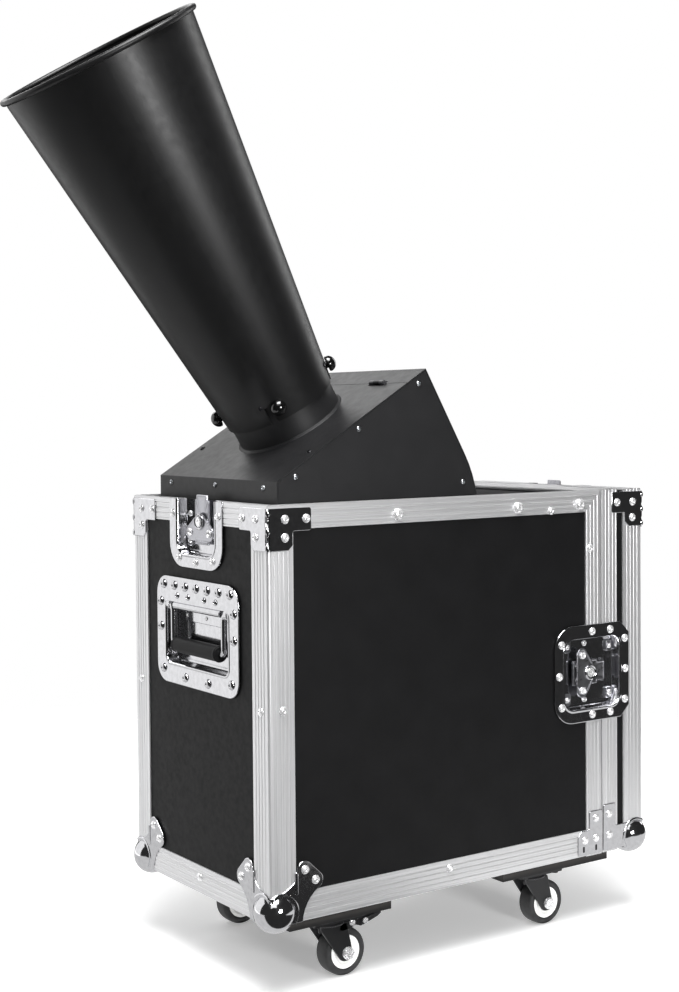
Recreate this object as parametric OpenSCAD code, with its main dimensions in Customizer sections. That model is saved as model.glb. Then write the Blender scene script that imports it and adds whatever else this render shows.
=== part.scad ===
// Confetti blower built into a wheeled flight case, with its lid taken off.
// Sizes are millimetres. Working axes: x runs from the case's left end to its door,
// y from the near long side to the far one, z up from the underside of the case.

/* [Case] */
// Length of the tub, from its left end to the door seam
tub_len = 446; // [420:1:520]
// Depth of the door, from the seam to its outer face
door_depth = 64; // [60:1:90]
// Width of the case over its extrusions
case_w = 278; // [276:1:320]
// Height of the case, from its underside to the rim
case_h = 414; // [400:1:460]
// Thickness of the plywood panels
panel_t = 9; // [8:0.5:10]
// Thickness of the aluminium extrusions
skin_t = 1.5; // [1.2:0.1:1.8]
// Leg of the corner angle extrusions
angle_leg = 30; // [26:1:32]
// Visible face of the rim and seam extrusions
edge_face = 24; // [22:1:26]
// Radius of the ball corners
ball_r = 21; // [19:0.5:21.5]

/* [Undercarriage] */
// Thickness of the caster planks
plank_t = 12; // [9:1:15]
// Width of the plank at the left end
plank_w_left = 126; // [110:1:140]
// Width of the plank at the door end
plank_w_right = 157; // [130:1:160]
// Inset of the planks from the long sides
plank_inset = 12; // [12:1:20]
// Wheel diameter
wheel_d = 50; // [44:1:52]
// Wheel width
wheel_w = 20; // [16:1:22]
// Height of a caster from floor to plate
caster_h = 65; // [62:1:72]
// Distance from swivel axis to axle
trail = 18; // [14:1:20]
// Distance of the swivel axes from the long sides
swivel_inset = 37; // [36:1:44]

/* [Machine] */
// Gap between the left end of the tub and the hood
hood_gap = 23.5; // [22:0.5:30]
// Length of the hood along the case
hood_len = 256; // [254:1:266]
// Distance from the case's long sides to the hood
hood_inset = 19; // [16:0.5:22]
// Height of the hood's front lip above the rim
lip_h = 22; // [20:1:28]
// Slope of the hood's upper face
slope = 31.2; // [30:0.2:33]
// Length of the sloping face
slope_len = 219; // [217:1:222]
// Thickness of the hood and chassis sheet
sheet_t = 1.5; // [1.2:0.1:1.6]
// Length of the hatch's strip on the slope
hatch_strip = 28.5; // [27:0.5:31]
// Gap along the hatch's edges
hatch_gap = 0.6; // [0.4:0.1:0.8]

/* [Barrel] */
// Outer radius of the spigot
spigot_r = 58.5; // [56:0.5:59]
// Distance from the lip's fold to the barrel axis
spigot_at = 110; // [108:1:112]
// Height of the spigot above the slope
spigot_h = 68; // [60:1:80]
// Outer radius of the barrel at its lower edge
barrel_r = 61.6; // [61.2:0.1:62.4]
// Outer radius of the barrel at its mouth
mouth_r = 104.9; // [95:0.5:110]
// Height of the barrel's lower edge above the slope
barrel_lift = 25; // [23:1:27]
// Length of the barrel
barrel_len = 409; // [380:1:430]
// Wall of the barrel
barrel_t = 1.2; // [1:0.1:1.5]
// Radius of the rolled bead at the mouth
bead_r = 3.2; // [2.8:0.1:3.6]
// Height of the clamping knobs above the slope
knob_h = 40; // [39:0.5:42]
// Radius of a clamping knob
knob_r = 8.7; // [8:0.1:9]
// Turn that frees the barrel from the knobs
bayonet_turn = 9; // [8:0.5:11]
// Width of the bayonet slots
slot_w = 9; // [8.8:0.1:10]

/* [Hardware] */
// Height of a butterfly latch's plate
latch_h = 110; // [104:1:114]
// Width of a butterfly latch's tub half
latch_w = 72; // [70:1:74]
// Width of a butterfly latch's door half
keeper_w = 42; // [40:1:44]
// Depth of the recessed pans
pan_depth = 13; // [12.5:0.5:15]
// Width of the handle plate
handle_w = 170; // [164:1:176]
// Height of the handle plate
handle_h = 115; // [110:1:120]
// Thickness of plates pressed from steel
plate_t = 1.2; // [1:0.1:1.4]
// Radius of a rivet head
rivet_r = 4.6; // [4:0.1:5]
// Radius of a rivet shank
shank_r = 2; // [1.8:0.1:2.2]

/* [Hidden] */
$fn = 48;
eps = 0.01;
run = 0.05;          // running clearance of a shaft in its hole, radial
seat = 0.3;          // gap between a moving piece and what it rests on
rim_t = panel_t + 2*skin_t;
web_t = 4;           // edge extrusion over the panel's edge
inner_leg = 14;      // edge extrusion's leg inside the case
tongue_w = 3;        // tongue of the door's extrusion
tongue_h = 2.2;
groove_gap = 0.3;
mitre = 0.05;        // open joint between two extrusions' ends
ball_in = 12;        // ball centre inside the three faces
door_floor = 0.5;    // door's underside above the tub's
door_x0 = tub_len;
door_x1 = tub_len + door_depth;
mid_y = case_w/2;
handle_z = 273;      // centre of the handle plates
latch_z = 208;       // centre of the seam latches
floor_z = -plank_t - caster_h;
bail_r = 3.4;        // rod of the spring handles
bail_z = -1.5;       // rod's height over the outer face
grip_r = 8.6;

// Hood profile in the xz plane
hood_x0 = hood_gap;
hood_x1 = hood_x0 + hood_len;
hood_y0 = hood_inset;
hood_y1 = case_w - hood_inset;
hood_z0 = case_h - 30;
lip_z = case_h + lip_h;
apex = [hood_x0 + slope_len*cos(slope), lip_z + slope_len*sin(slope)];
back_r = 135;        // radius of the hatch's curved back
back_a0 = 60;        // fall of the hatch's back at the apex, degrees
back_a1 = 80;        // fall at its lower edge
back_c = [hood_x1 - back_r*sin(back_a1), case_h - back_r*cos(back_a1)];
back_arc = [for (i = [0:4]) let (a = back_a1 + (back_a0 - back_a1)*i/4)
    back_c + back_r*[sin(a), cos(a)]];
hood_profile = concat([[hood_x0, hood_z0], [hood_x1, hood_z0]], back_arc,
    [apex, [hood_x0, lip_z]]);

// Barrel axis frame: local z along the barrel, local x up the slope
axis_o = [hood_x0 + spigot_at*cos(slope), mid_y, lip_z + spigot_at*sin(slope)];
mouth_h = barrel_lift + barrel_len;
cone = (mouth_r - barrel_r)/barrel_len;
function cone_r(h) = barrel_r + cone*(h - barrel_lift);
knob_a = 238.5;      // first knob's place round the axis, degrees
knob_seat = cone_r(knob_h) + cone*knob_r + seat;

// Whole object: origin under the middle of its bounding box
bead_ring = mouth_r + 1;
bead_c = axis_o + (mouth_h - bead_r)*[-sin(slope), 0, cos(slope)];
x_min = bead_c[0] - bead_ring*cos(slope) - bead_r;
x_max = door_x1 + max(ball_r - ball_in, grip_r + bail_z);
origin = [(x_min + x_max)/2, mid_y, floor_z];

// Offset of a convex polygon's sides towards its inside; points run counter-clockwise
function side_in(p, q, t) = let (d = (q - p)/norm(q - p)) [p + t*[-d[1], d[0]], d];
function meet(a, b) = let (k = a[1][0]*b[1][1] - a[1][1]*b[1][0], w = b[0] - a[0])
    a[0] + a[1]*(w[0]*b[1][1] - w[1]*b[1][0])/k;
function inset(p, t) = [for (i = [0:len(p)-1])
    meet(side_in(p[(i+len(p)-1)%len(p)], p[i], t), side_in(p[i], p[(i+1)%len(p)], t))];

// Shared building blocks

module place() translate(-origin) children();
module both_sides() {
    children();
    translate([0, case_w, 0]) mirror([0, 1, 0]) children();
}
module box(a, b) translate(a) cube(b - a);
// Prisms: a polygon in the xz, yz or xy plane carried along the third axis
module prism_y(pts, y0, y1) translate([0, y1, 0]) rotate([90, 0, 0])
    linear_extrude(y1 - y0) polygon(pts);
module prism_x(pts, x0, x1) translate([x0, 0, 0]) rotate([90, 0, 90])
    linear_extrude(x1 - x0) polygon(pts);
module prism_z(pts, z0, z1) translate([0, 0, z0]) linear_extrude(z1 - z0) polygon(pts);

// Faces of the case: local z points out of the face, local y up
module near_face() rotate([90, 0, 0]) children();
module left_face() translate([0, mid_y, 0]) rotate([90, 0, -90]) children();
module door_face() translate([door_x1, mid_y, 0]) rotate([90, 0, 90]) children();

// Latch places: local x points at the counterpart, local z out of the face
module at_seam_latch() translate([tub_len, 0, latch_z]) rotate([90, 0, 0]) children();
module at_lid_latch() translate([0, mid_y, case_h]) rotate([0, -90, 0]) children();
module at_door_latch() translate([door_x1, mid_y, case_h]) rotate([0, -90, 180]) children();

module rounded_2d(w, h, r) {
    square([w - 2*r, h], center = true);
    square([w, h - 2*r], center = true);
    for (sx = [-1, 1], sy = [-1, 1]) translate([sx*(w/2 - r), sy*(h/2 - r)]) circle(r);
}
// Rounded plate that ends square at x = 0
module half_rounded_2d(w, h, r) intersection() {
    rounded_2d(2*w, h, r);
    translate([-w, -h/2]) square([w, h]);
}

// Extrusions

groove_w = 1.6;
groove_d = 0.4;
module grooves_2d(from, step, count) for (i = [0:count-1])
    translate([from + i*step, -eps]) square([groove_w, groove_d + eps]);

// Angle: corner at the origin, legs along x and y
module angle_2d() {
    r = 3;
    difference() {
        union() {
            translate([r, 0]) square([angle_leg - r, skin_t]);
            translate([0, r]) square([skin_t, angle_leg - r]);
            intersection() {
                translate([r, r]) circle(r);
                square(r + eps);
            }
        }
        translate([skin_t, skin_t]) square(angle_leg);
        grooves_2d(7, 5.4, 4);
        mirror([1, -1, 0]) grooves_2d(7, 5.4, 4);
    }
}
// Edge extrusion: x is depth from the outer face, y is distance back from the mating face
module edge_2d(tongue, lift = 0) {
    difference() {
        union() {
            square([skin_t, edge_face]);
            square([rim_t, web_t]);
            translate([rim_t - skin_t, 0]) square([skin_t, inner_leg]);
        }
        if (!tongue) translate([(rim_t - tongue_w)/2 - groove_gap, -eps])
            square([tongue_w + 2*groove_gap, tongue_h + 0.4]);
        mirror([1, -1, 0]) grooves_2d(5, 5.4, 4);
    }
    if (tongue) translate([(rim_t - tongue_w)/2 - lift, -tongue_h])
        square([tongue_w, tongue_h + eps]);
}

// Rivets and the holes they need

module rivet(reach) {
    cylinder(r1 = rivet_r, r2 = rivet_r*0.62, h = 1.8);
    translate([0, 0, -reach]) cylinder(r = shank_r, h = reach + eps);
}
module rivets(points, seat_z, reach, hole = false) for (p = points)
    translate([p[0], p[1], seat_z])
        if (hole) translate([0, 0, -reach - 1]) cylinder(r = shank_r + run, h = reach + 2);
        else rivet(reach);

panel_in = skin_t + panel_t;     // inner face of a panel, below the outer face
latch_rivets = [for (s = [-1, 1]) [-15.5, s*(latch_h/2 - 8)], for (s = [-1, 1])
    [10 - latch_w, s*(latch_h/2 - 20)], [6.5 - latch_w, 0]];
keeper_rivets = [for (s = [-1, 1]) [12.5, s*(latch_h/2 - 8)], for (s = [-1, 1])
    [keeper_w - 6.5, s*(latch_h/2 - 20)], [keeper_w - 5.5, 0]];
handle_rivets = [for (i = [-3:3]) [i*23, handle_h/2 - 9.5],
    for (s = [-1, 1]) each [[s*(handle_w/2 - 9), 29], [s*(handle_w/2 - 9), 2],
        [s*(handle_w/2 - 14), 14.5 - handle_h/2], [s*24, 9.5 - handle_h/2]]];
brace_rivets = [[20, -14], [45, -14], [20, -32]];
petal_rivets = [[40, 52], [52.5, 40]];
foot_rivets = [[-10.5, 42], [-10.5, 19.5], [-27.5, 19]];

// Rivets of the tub's near side, in the near face's frame
module near_rivets(hole = false) {
    near_face() {
        rivets([for (p = brace_rivets) [p[0], case_h + p[1]]], plate_t, plate_t + panel_in, hole);
        rivets(petal_rivets, plate_t, plate_t + panel_in, hole);
        rivets([for (p = foot_rivets) [tub_len + p[0], p[1]]], plate_t, plate_t + panel_in, hole);
        rivets([[tub_len - 76, case_h - 20.5], [tub_len - 17.5, case_h - 65], [16.5, 212], [224, 21]],
            0, panel_in, hole);
    }
    at_seam_latch() rivets(latch_rivets, plate_t, plate_t + panel_in, hole);
}
// Rivets of the tub's left end
module end_rivets(hole = false) {
    left_face() {
        for (m = [0, 1]) mirror([m, 0, 0]) translate([-mid_y, 0, 0]) {
            rivets([for (p = brace_rivets) [p[0], case_h + p[1]]], plate_t, plate_t + panel_in, hole);
            rivets(petal_rivets, plate_t, plate_t + panel_in, hole);
            rivets([[14.5, 211]], 0, panel_in, hole);
        }
        rivets([[0, 18]], 0, panel_in, hole);
        translate([0, handle_z, 0]) rivets(handle_rivets, plate_t, plate_t + panel_in, hole);
    }
    at_lid_latch() rivets(latch_rivets, plate_t, plate_t + panel_in, hole);
}
module tub_rivets(hole = false) {
    both_sides() near_rivets(hole);
    end_rivets(hole);
}
// Bolts through the rim: one pair clamps the chassis, two pairs carry the bay deck
rim_bolt_z = case_h - 15;
deck_bolts = [321.5, tub_len - 33.5];
chassis_bolt = hood_x0 + 135;
bolt_r = 3;
bolt_nut_t = 5;
chassis_y = hood_y0 + sheet_t;      // outer face of the chassis's near wall
module rim_bolt_places() for (x = concat([chassis_bolt], deck_bolts))
    translate([x, 0, rim_bolt_z]) rotate([90, 0, 0]) children();
module rim_bolt_holes() both_sides() rim_bolt_places()
    translate([0, 0, -rim_t - 14]) cylinder(r = bolt_r + run, h = rim_t + 16);

// Pans of latches and handles, and the pockets cut for them
pan_side = 14;       // flange beside a latch's pan
pan_r = 14;          // corners of a latch's pan
handle_pan_w = handle_w - 39;
handle_pan_h = handle_h - 44;
handle_depth = pan_depth + 1;
fit_gap = 0.4;

module latch_pan_2d(w, grow)
    half_rounded_2d(w - pan_side + grow, latch_h - 2*15 + 2*grow, pan_r + grow);
module latch_pocket(w) translate([0, 0, -pan_depth - fit_gap])
    linear_extrude(pan_depth + fit_gap + 2) latch_pan_2d(w, fit_gap);
module handle_pocket() translate([0, handle_z, -handle_depth - fit_gap])
    linear_extrude(handle_depth + fit_gap + 2)
        rounded_2d(handle_pan_w + 2*fit_gap, handle_pan_h + 2*fit_gap, 8 + fit_gap);
module tub_pockets() {
    both_sides() at_seam_latch() latch_pocket(latch_w);
    at_lid_latch() latch_pocket(latch_w);
    left_face() handle_pocket();
}
module door_pockets() {
    both_sides() at_seam_latch() mirror([1, 0, 0]) {
        latch_pocket(keeper_w);
        // The tongue stops beside the pan
        translate([-eps, -latch_h/2 + 15 - fit_gap, -pan_depth - fit_gap])
            cube([tongue_h + 1, latch_h - 30 + 2*fit_gap, pan_depth + fit_gap]);
    }
    at_door_latch() latch_pocket(latch_w);
    door_face() handle_pocket();
}

// Tub of the case

module floor_panel() color("#1d1d1f") place() difference() {
    box([skin_t, panel_in, skin_t], [tub_len - web_t, case_w - panel_in, panel_in]);
    both_sides() box([tub_len - inner_leg - eps, panel_in - eps, 0], [tub_len, rim_t, panel_in + 1]);
}
module side_panels() color("#19191b") place() difference() {
    both_sides() box([skin_t, skin_t, skin_t], [tub_len - web_t, panel_in, case_h - web_t]);
    tub_rivets(hole = true);
    rim_bolt_holes();
    tub_pockets();
}
module left_end_panel() color("#19191b") place() difference() {
    box([skin_t, panel_in, panel_in], [panel_in, case_w - panel_in, case_h - web_t]);
    tub_rivets(hole = true);
    tub_pockets();
}
module corner_extrusions() color("#c4c6c9") place() difference() {
    union() {
        // Bottom rails, mitred at the left end
        both_sides() intersection() {
            rotate([90, 0, 90]) linear_extrude(tub_len - edge_face - mitre) angle_2d();
            prism_z([[mitre, 0], [tub_len, 0], [tub_len, angle_leg], [angle_leg + mitre, angle_leg]],
                -1, angle_leg + 1);
        }
        intersection() {
            translate([0, case_w, 0]) rotate([90, 0, 0]) linear_extrude(case_w) angle_2d();
            prism_z([[0, 0], [angle_leg, angle_leg], [angle_leg, case_w - angle_leg], [0, case_w]],
                -1, angle_leg + 1);
        }
        // Corner posts
        both_sides() translate([0, 0, angle_leg + mitre])
            linear_extrude(case_h - edge_face - angle_leg - 2*mitre) angle_2d();
    }
    tub_rivets(hole = true);
    tub_pockets();
}
module edge_extrusions() color("#cfd1d4") place() difference() {
    union() {
        // Rim along the long sides: mitred in plan at the left, on the seam at the right
        both_sides() intersection() {
            translate([0, 0, case_h]) rotate([90, 0, 90]) mirror([0, 1, 0])
                linear_extrude(tub_len) edge_2d(false);
            prism_z([[mitre, 0], [tub_len, 0], [tub_len, rim_t], [rim_t + mitre, rim_t]],
                case_h - edge_face - 1, case_h + 1);
            prism_y([[-1, case_h - edge_face - 1], [tub_len - edge_face - 1 - mitre, case_h - edge_face - 1],
                [tub_len + 1 - mitre, case_h + 1], [-1, case_h + 1]], -1, rim_t + 1);
        }
        // Rim along the left end
        intersection() {
            translate([0, 0, case_h]) rotate([90, 0, 0]) mirror([0, 1, 0]) mirror([0, 0, 1])
                linear_extrude(case_w) edge_2d(false);
            prism_z([[0, 0], [rim_t, rim_t], [rim_t, case_w - rim_t], [0, case_w]],
                case_h - edge_face - 1, case_h + 1);
        }
        // Seam frame: uprights, sill and header
        both_sides() intersection() {
            translate([tub_len, 0, 0]) rotate([0, 0, 90]) linear_extrude(case_h) edge_2d(false);
            prism_y([[tub_len - edge_face - 1, -1], [tub_len + 1, -1], [tub_len + 1, case_h + 1],
                [tub_len - edge_face - 1, case_h - edge_face - 1]], -1, rim_t + 1);
        }
        seam_bar(false);
        translate([0, 0, case_h]) mirror([0, 0, 1]) seam_bar(false);
    }
    tub_rivets(hole = true);
    rim_bolt_holes();
    tub_pockets();
}
// Crosswise bar of a seam frame, its outer face on z = 0 and its mating face on x = tub_len
module seam_bar(tongue, lift = 0) translate([tub_len, case_w - rim_t - mitre, 0]) rotate([90, 0, 0])
    rotate([0, 0, 90]) linear_extrude(case_w - 2*rim_t - 2*mitre) edge_2d(tongue, lift);

// Ball corner at the tub's or door's lower corner: a pressed ball with a petal on each side
module ball_cap() difference() {
    translate([ball_in, ball_in, ball_in]) sphere(r = ball_r);
    cube(3*ball_r);
}
module petal_2d() {
    polygon([[ball_in, 0], [38, 0], [42, 14], [60, 32], [60, 46], [47, 60], [34, 60], [30, 46],
        [ball_in + 4, 22]]);
    for (p = petal_rivets) translate(p) circle(9);
}
module petal() difference() {
    linear_extrude(plate_t) petal_2d();
    rivets(petal_rivets, plate_t, plate_t, hole = true);
}
module ball_corners() color("#d9dade") place() both_sides() {
    ball_cap();
    near_face() petal();
    rotate([90, 0, -90]) mirror([1, 0, 0]) petal();
}
module brace_2d() {
    translate([1, -26]) square([50, 23]);
    translate([1, -42]) square([28, 18]);
    polygon([[1, -45], [24, -45], [29, -40], [29, -36], [1, -36]]);
}
module brace_plate() difference() {
    linear_extrude(plate_t) brace_2d();
    rivets(brace_rivets, plate_t, plate_t, hole = true);
}
module foot_brace_2d() {
    translate([-20.5, 2]) square([20, 49]);
    polygon([[-38, 2], [-20, 2], [-20, 30], [-32, 30], [-38, 24]]);
}
module corner_braces() color("#a9abb0") place() both_sides() {
    // Rim corner: a plate on each face and the bent edge that joins them
    translate([0, 0, case_h]) {
        near_face() brace_plate();
        rotate([90, 0, -90]) mirror([1, 0, 0]) brace_plate();
    }
    box([-plate_t, -plate_t, case_h - 45], [1 + eps, 0, case_h - 3]);
    box([-plate_t, -plate_t, case_h - 45], [0, 1 + eps, case_h - 3]);
    near_face() translate([tub_len, 0, 0]) difference() {
        linear_extrude(plate_t) foot_brace_2d();
        rivets(foot_rivets, plate_t, plate_t, hole = true);
    }
}
module case_rivets() color("#e6e7ea") place() tub_rivets();
// Round-headed bolt with a nut against the sheet inside, its inner face at depth grip
module rim_bolt(grip) {
    cylinder(r = 6.4, h = 2.2);
    translate([0, 0, 2.2 - eps]) cylinder(r1 = 6.4, r2 = 3.2, h = 3);
    translate([0, 0, -grip - bolt_nut_t - 1]) cylinder(r = bolt_r, h = grip + bolt_nut_t + 1);
    difference() {
        translate([0, 0, -grip - bolt_nut_t]) cylinder(r = 5.6, h = bolt_nut_t, $fn = 6);
        translate([0, 0, -grip - 2*bolt_nut_t]) cylinder(r = bolt_r + run, h = 3*bolt_nut_t);
    }
}
module rim_bolts() color("#dfe0e3") place() both_sides() {
    translate([chassis_bolt, 0, rim_bolt_z]) rotate([90, 0, 0]) {
        rim_bolt(chassis_y + sheet_t);
        // Spacer between the rim and the hood
        difference() {
            translate([0, 0, -hood_y0]) cylinder(r = 7, h = hood_y0 - rim_t);
            translate([0, 0, -hood_y0 - 1]) cylinder(r = bolt_r + run, h = hood_y0);
        }
    }
    for (x = deck_bolts) translate([x, 0, rim_bolt_z]) rotate([90, 0, 0])
        rim_bolt(rim_t + sheet_t);
}

// Recessed dishes of latches and handle

module latch_dish(w) {
    difference() {
        union() {
            linear_extrude(plate_t) half_rounded_2d(w, latch_h, 26);
            translate([0, 0, -pan_depth]) linear_extrude(pan_depth + eps) latch_pan_2d(w, 0);
        }
        translate([0, 0, plate_t - pan_depth]) linear_extrude(pan_depth + plate_t)
            translate([eps, 0]) latch_pan_2d(w - plate_t, -plate_t);
        translate([-eps, -latch_h, -2*pan_depth]) cube([1, 2*latch_h, 4*pan_depth]);
    }
}
// Cam post of a latch: its head keeps the wing on
post_x = -14;
lid_post_x = -23;    // the lid's two latches have theirs deeper in
post_r = 3;
hook_z = plate_t - pan_depth + 3.2;      // underside of the hook plate
hook_t = 2;
wing_z = hook_z + hook_t + 1;            // underside of the wing
wing_t = 2;
module latch_post(at_x = post_x) translate([at_x, 0, plate_t - pan_depth - eps]) {
    cylinder(r = post_r, h = wing_z + wing_t + pan_depth - plate_t + 1.4);
    cylinder(r = 6, h = 2.4);
    translate([0, 0, wing_z + wing_t + pan_depth - plate_t + seat]) cylinder(r = 5.2, h = 1.6);
}
// Butterfly wing: a plate round the cam and two lobes, with a boss on each lobe
cam_r = 9.6;
lobe = [-12, 20];
lobe_r = 8;
wing_a = atan2(lobe[1], lobe[0]) - acos((cam_r - lobe_r)/norm(lobe));
wing_edge = [cos(wing_a), sin(wing_a)];
module latch_wing(at_x = post_x) difference() {
    translate([at_x, 0, wing_z]) {
        cylinder(r = cam_r, h = wing_t);
        linear_extrude(wing_t) polygon([cam_r*wing_edge, lobe + lobe_r*wing_edge, lobe,
            lobe - [lobe_r, 0], [lobe[0] - lobe_r, -lobe[1]], [lobe[0], -lobe[1]],
            [lobe[0] + lobe_r*wing_edge[0], -lobe[1] - lobe_r*wing_edge[1]],
            [cam_r*wing_edge[0], -cam_r*wing_edge[1]]]);
        for (s = [-1, 1]) translate([lobe[0], s*lobe[1], 0]) {
            cylinder(r = lobe_r, h = wing_t);
            cylinder(r = 4.4, h = wing_t + 1.4);
        }
    }
    translate([at_x, 0, wing_z - 1]) cylinder(r = post_r + run, h = wing_t + 8);
}
hook_travel = 6;
// Hook plate: slotted round the post, its tab passing over the keeper
module latch_hook(tab, at_x = post_x) translate([0, 0, hook_z]) difference() {
    union() {
        translate([at_x - 24, -14, 0]) cube([24 - at_x, 28, hook_t]);
        translate([-eps, -11, 0]) cube([tab, 22, hook_t]);
        translate([at_x - 24, -14, 0]) cube([2, 28, hook_t + 0.8]);
    }
    translate([at_x - hook_travel, -post_r - 0.2, -1])
        cube([hook_travel, 2*post_r + 0.4, hook_t + 2]);
    for (x = [at_x - hook_travel, at_x]) translate([x, 0, -1])
        cylinder(r = post_r + 0.2, h = hook_t + 2);
}
seam_tab = 11;       // tab of a seam latch, over the door's keeper
lid_tab = 5;         // tab of a lid latch, drawn in

module handle_dish_body() translate([0, handle_z, 0]) {
    difference() {
        union() {
            linear_extrude(plate_t) rounded_2d(handle_w, handle_h, 20);
            translate([0, 0, -handle_depth]) linear_extrude(handle_depth + eps)
                rounded_2d(handle_pan_w, handle_pan_h, 8);
        }
        translate([0, 0, plate_t - handle_depth]) linear_extrude(handle_depth + 2*plate_t)
            rounded_2d(handle_pan_w - 2*plate_t, handle_pan_h - 2*plate_t, 7);
        rivets(handle_rivets, plate_t, plate_t, hole = true);
    }
    // Ears that carry the bail
    for (s = [-1, 1]) difference() {
        translate([s*(bail_x + 7.4) - 3, bail_y - 6, plate_t - handle_depth - eps])
            cube([6, 12, handle_depth - plate_t + 4]);
        translate([s*(bail_x + 7), bail_y, bail_z]) rotate([0, 90, 0])
            cylinder(r = bail_r + run, h = 20, center = true);
    }
}
bail_x = handle_pan_w/2 - plate_t - 11.6;    // rods either side of the grip
bail_y = handle_pan_h/2 - 9;                 // pivot above the plate's centre
grip_y = -15;
module bail() translate([0, handle_z, bail_z]) {
    for (s = [-1, 1]) {
        translate([s*bail_x, bail_y, 0]) rotate([0, s*90, 0]) cylinder(r = bail_r, h = 10.2);
        translate([s*bail_x, bail_y, 0]) sphere(r = bail_r);
        translate([s*bail_x, grip_y, 0]) rotate([-90, 0, 0])
            cylinder(r = bail_r, h = bail_y - grip_y);
        translate([s*bail_x, grip_y, 0]) sphere(r = bail_r);
    }
    translate([0, grip_y, 0]) rotate([0, 90, 0])
        cylinder(r = bail_r, h = 2*bail_x, center = true);
}
module grip() translate([0, handle_z + grip_y, bail_z]) rotate([0, 90, 0]) difference() {
    cylinder(r = grip_r, h = 2*bail_x - 2*bail_r - 2*seat, center = true);
    cylinder(r = bail_r + run, h = 3*bail_x, center = true);
}
module recessed_dishes() color("#c9cacd") place() {
    both_sides() at_seam_latch() seam_dish(latch_w);
    at_lid_latch() seam_dish(latch_w, lid_post_x);
    left_face() handle_dish_body();
}
module seam_dish(w, at_x = post_x) {
    difference() {
        latch_dish(w);
        rivets(latch_rivets, plate_t, plate_t, hole = true);
    }
    latch_post(at_x);
}
module end_handle() color("#2a2a2c") place() left_face() {
    bail();
    grip();
}
module near_latch_wing() color("#8f9196") place() at_seam_latch() latch_wing();
module near_latch_hook() color("#9b9da2") place() at_seam_latch() latch_hook(seam_tab);
module far_latch_wing() color("#8f9196") place()
    translate([0, case_w, 0]) mirror([0, 1, 0]) at_seam_latch() latch_wing();
module far_latch_hook() color("#9b9da2") place()
    translate([0, case_w, 0]) mirror([0, 1, 0]) at_seam_latch() latch_hook(seam_tab);
module lid_latch_wing() color("#8f9196") place() at_lid_latch() latch_wing(lid_post_x);
module lid_latch_hook() color("#9b9da2") place() at_lid_latch() latch_hook(lid_tab, lid_post_x);

// Door of the case: a shallow box with a tongued frame

module door_wedge_x(upright) {
    h0 = door_floor;
    if (upright) prism_x([[-1, h0 - 1 + mitre], [mid_y, h0 + mid_y + mitre],
        [mid_y, case_h - mid_y - mitre], [-1, case_h + 1 - mitre]], door_x1 - angle_leg - 1, door_x1 + 1);
    else prism_x([[-1, h0 - 1], [case_w + 1, h0 - 1], [mid_y, h0 + mid_y]],
        door_x1 - angle_leg - 1, door_x1 + 1);
}
module door_panels() color("#19191b") place() difference() {
    z0 = door_floor + skin_t;
    z1 = case_h - skin_t;
    x0 = door_x0 + web_t;
    x1 = door_x1 - panel_in;
    union() {
        box([x1, skin_t, z0], [door_x1 - skin_t, case_w - skin_t, z1]);
        both_sides() box([x0, skin_t, z0], [x1 - eps, panel_in, z1]);
        box([x0, panel_in + eps, z0], [x1 - eps, case_w - panel_in - eps, z0 + panel_t]);
        box([x0, panel_in + eps, z1 - panel_t], [x1 - eps, case_w - panel_in - eps, z1]);
    }
    both_sides() box([door_x0, panel_in, 0], [door_x0 + inner_leg + eps, rim_t, case_h]);
    door_rivet_set(hole = true);
    door_pockets();
}
module door_extrusions() color("#c9cbce") place() difference() {
    union() {
        // Tongued seam frame
        both_sides() translate([door_x0, 0, door_floor]) mirror([1, 0, 0]) rotate([0, 0, 90])
            linear_extrude(case_h - door_floor) edge_2d(true);
        translate([2*door_x0, 0, door_floor]) mirror([1, 0, 0]) seam_bar(true, door_floor);
        translate([2*door_x0, 0, case_h]) mirror([0, 0, 1]) mirror([1, 0, 0]) seam_bar(true);
        // Outer frame, mitred at its corners
        both_sides() intersection() {
            translate([door_x1, 0, 0]) mirror([1, 0, 0]) linear_extrude(case_h) angle_2d();
            door_wedge_x(true);
        }
        intersection() {
            translate([door_x1, case_w, door_floor]) rotate([90, 0, 0]) mirror([1, 0, 0])
                linear_extrude(case_w) angle_2d();
            door_wedge_x(false);
        }
        translate([0, 0, case_h + door_floor]) mirror([0, 0, 1]) intersection() {
            translate([door_x1, case_w, door_floor]) rotate([90, 0, 0]) mirror([1, 0, 0])
                linear_extrude(case_w) angle_2d();
            door_wedge_x(false);
        }
    }
    door_rivet_set(hole = true);
    door_pockets();
}
door_plate_rivets = [[10, 44], [10, 20]];
module door_rivet_set(hole = false) {
    both_sides() {
        at_seam_latch() rivets(keeper_rivets, plate_t, plate_t + panel_in, hole);
        near_face() {
            rivets([for (p = [[40, -15], [15.5, -15], [16, -33]]) [door_x1 - p[0], case_h + p[1]]],
                plate_t, plate_t + panel_in, hole);
            rivets([for (p = door_plate_rivets) [door_x0 + p[0], p[1]]],
                plate_t, plate_t + panel_in, hole);
        }
    }
    door_face() {
        for (m = [0, 1]) mirror([m, 0, 0]) translate([-mid_y, 0, 0]) {
            rivets([for (p = brace_rivets) [p[0], case_h + p[1]]], plate_t, plate_t + panel_in, hole);
            rivets(petal_rivets, plate_t, plate_t + panel_in, hole);
        }
        translate([0, handle_z, 0]) rivets(handle_rivets, plate_t, plate_t + panel_in, hole);
    }
    at_door_latch() rivets(latch_rivets, plate_t, plate_t + panel_in, hole);
}
module door_rivets() color("#e6e7ea") place() door_rivet_set();
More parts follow.
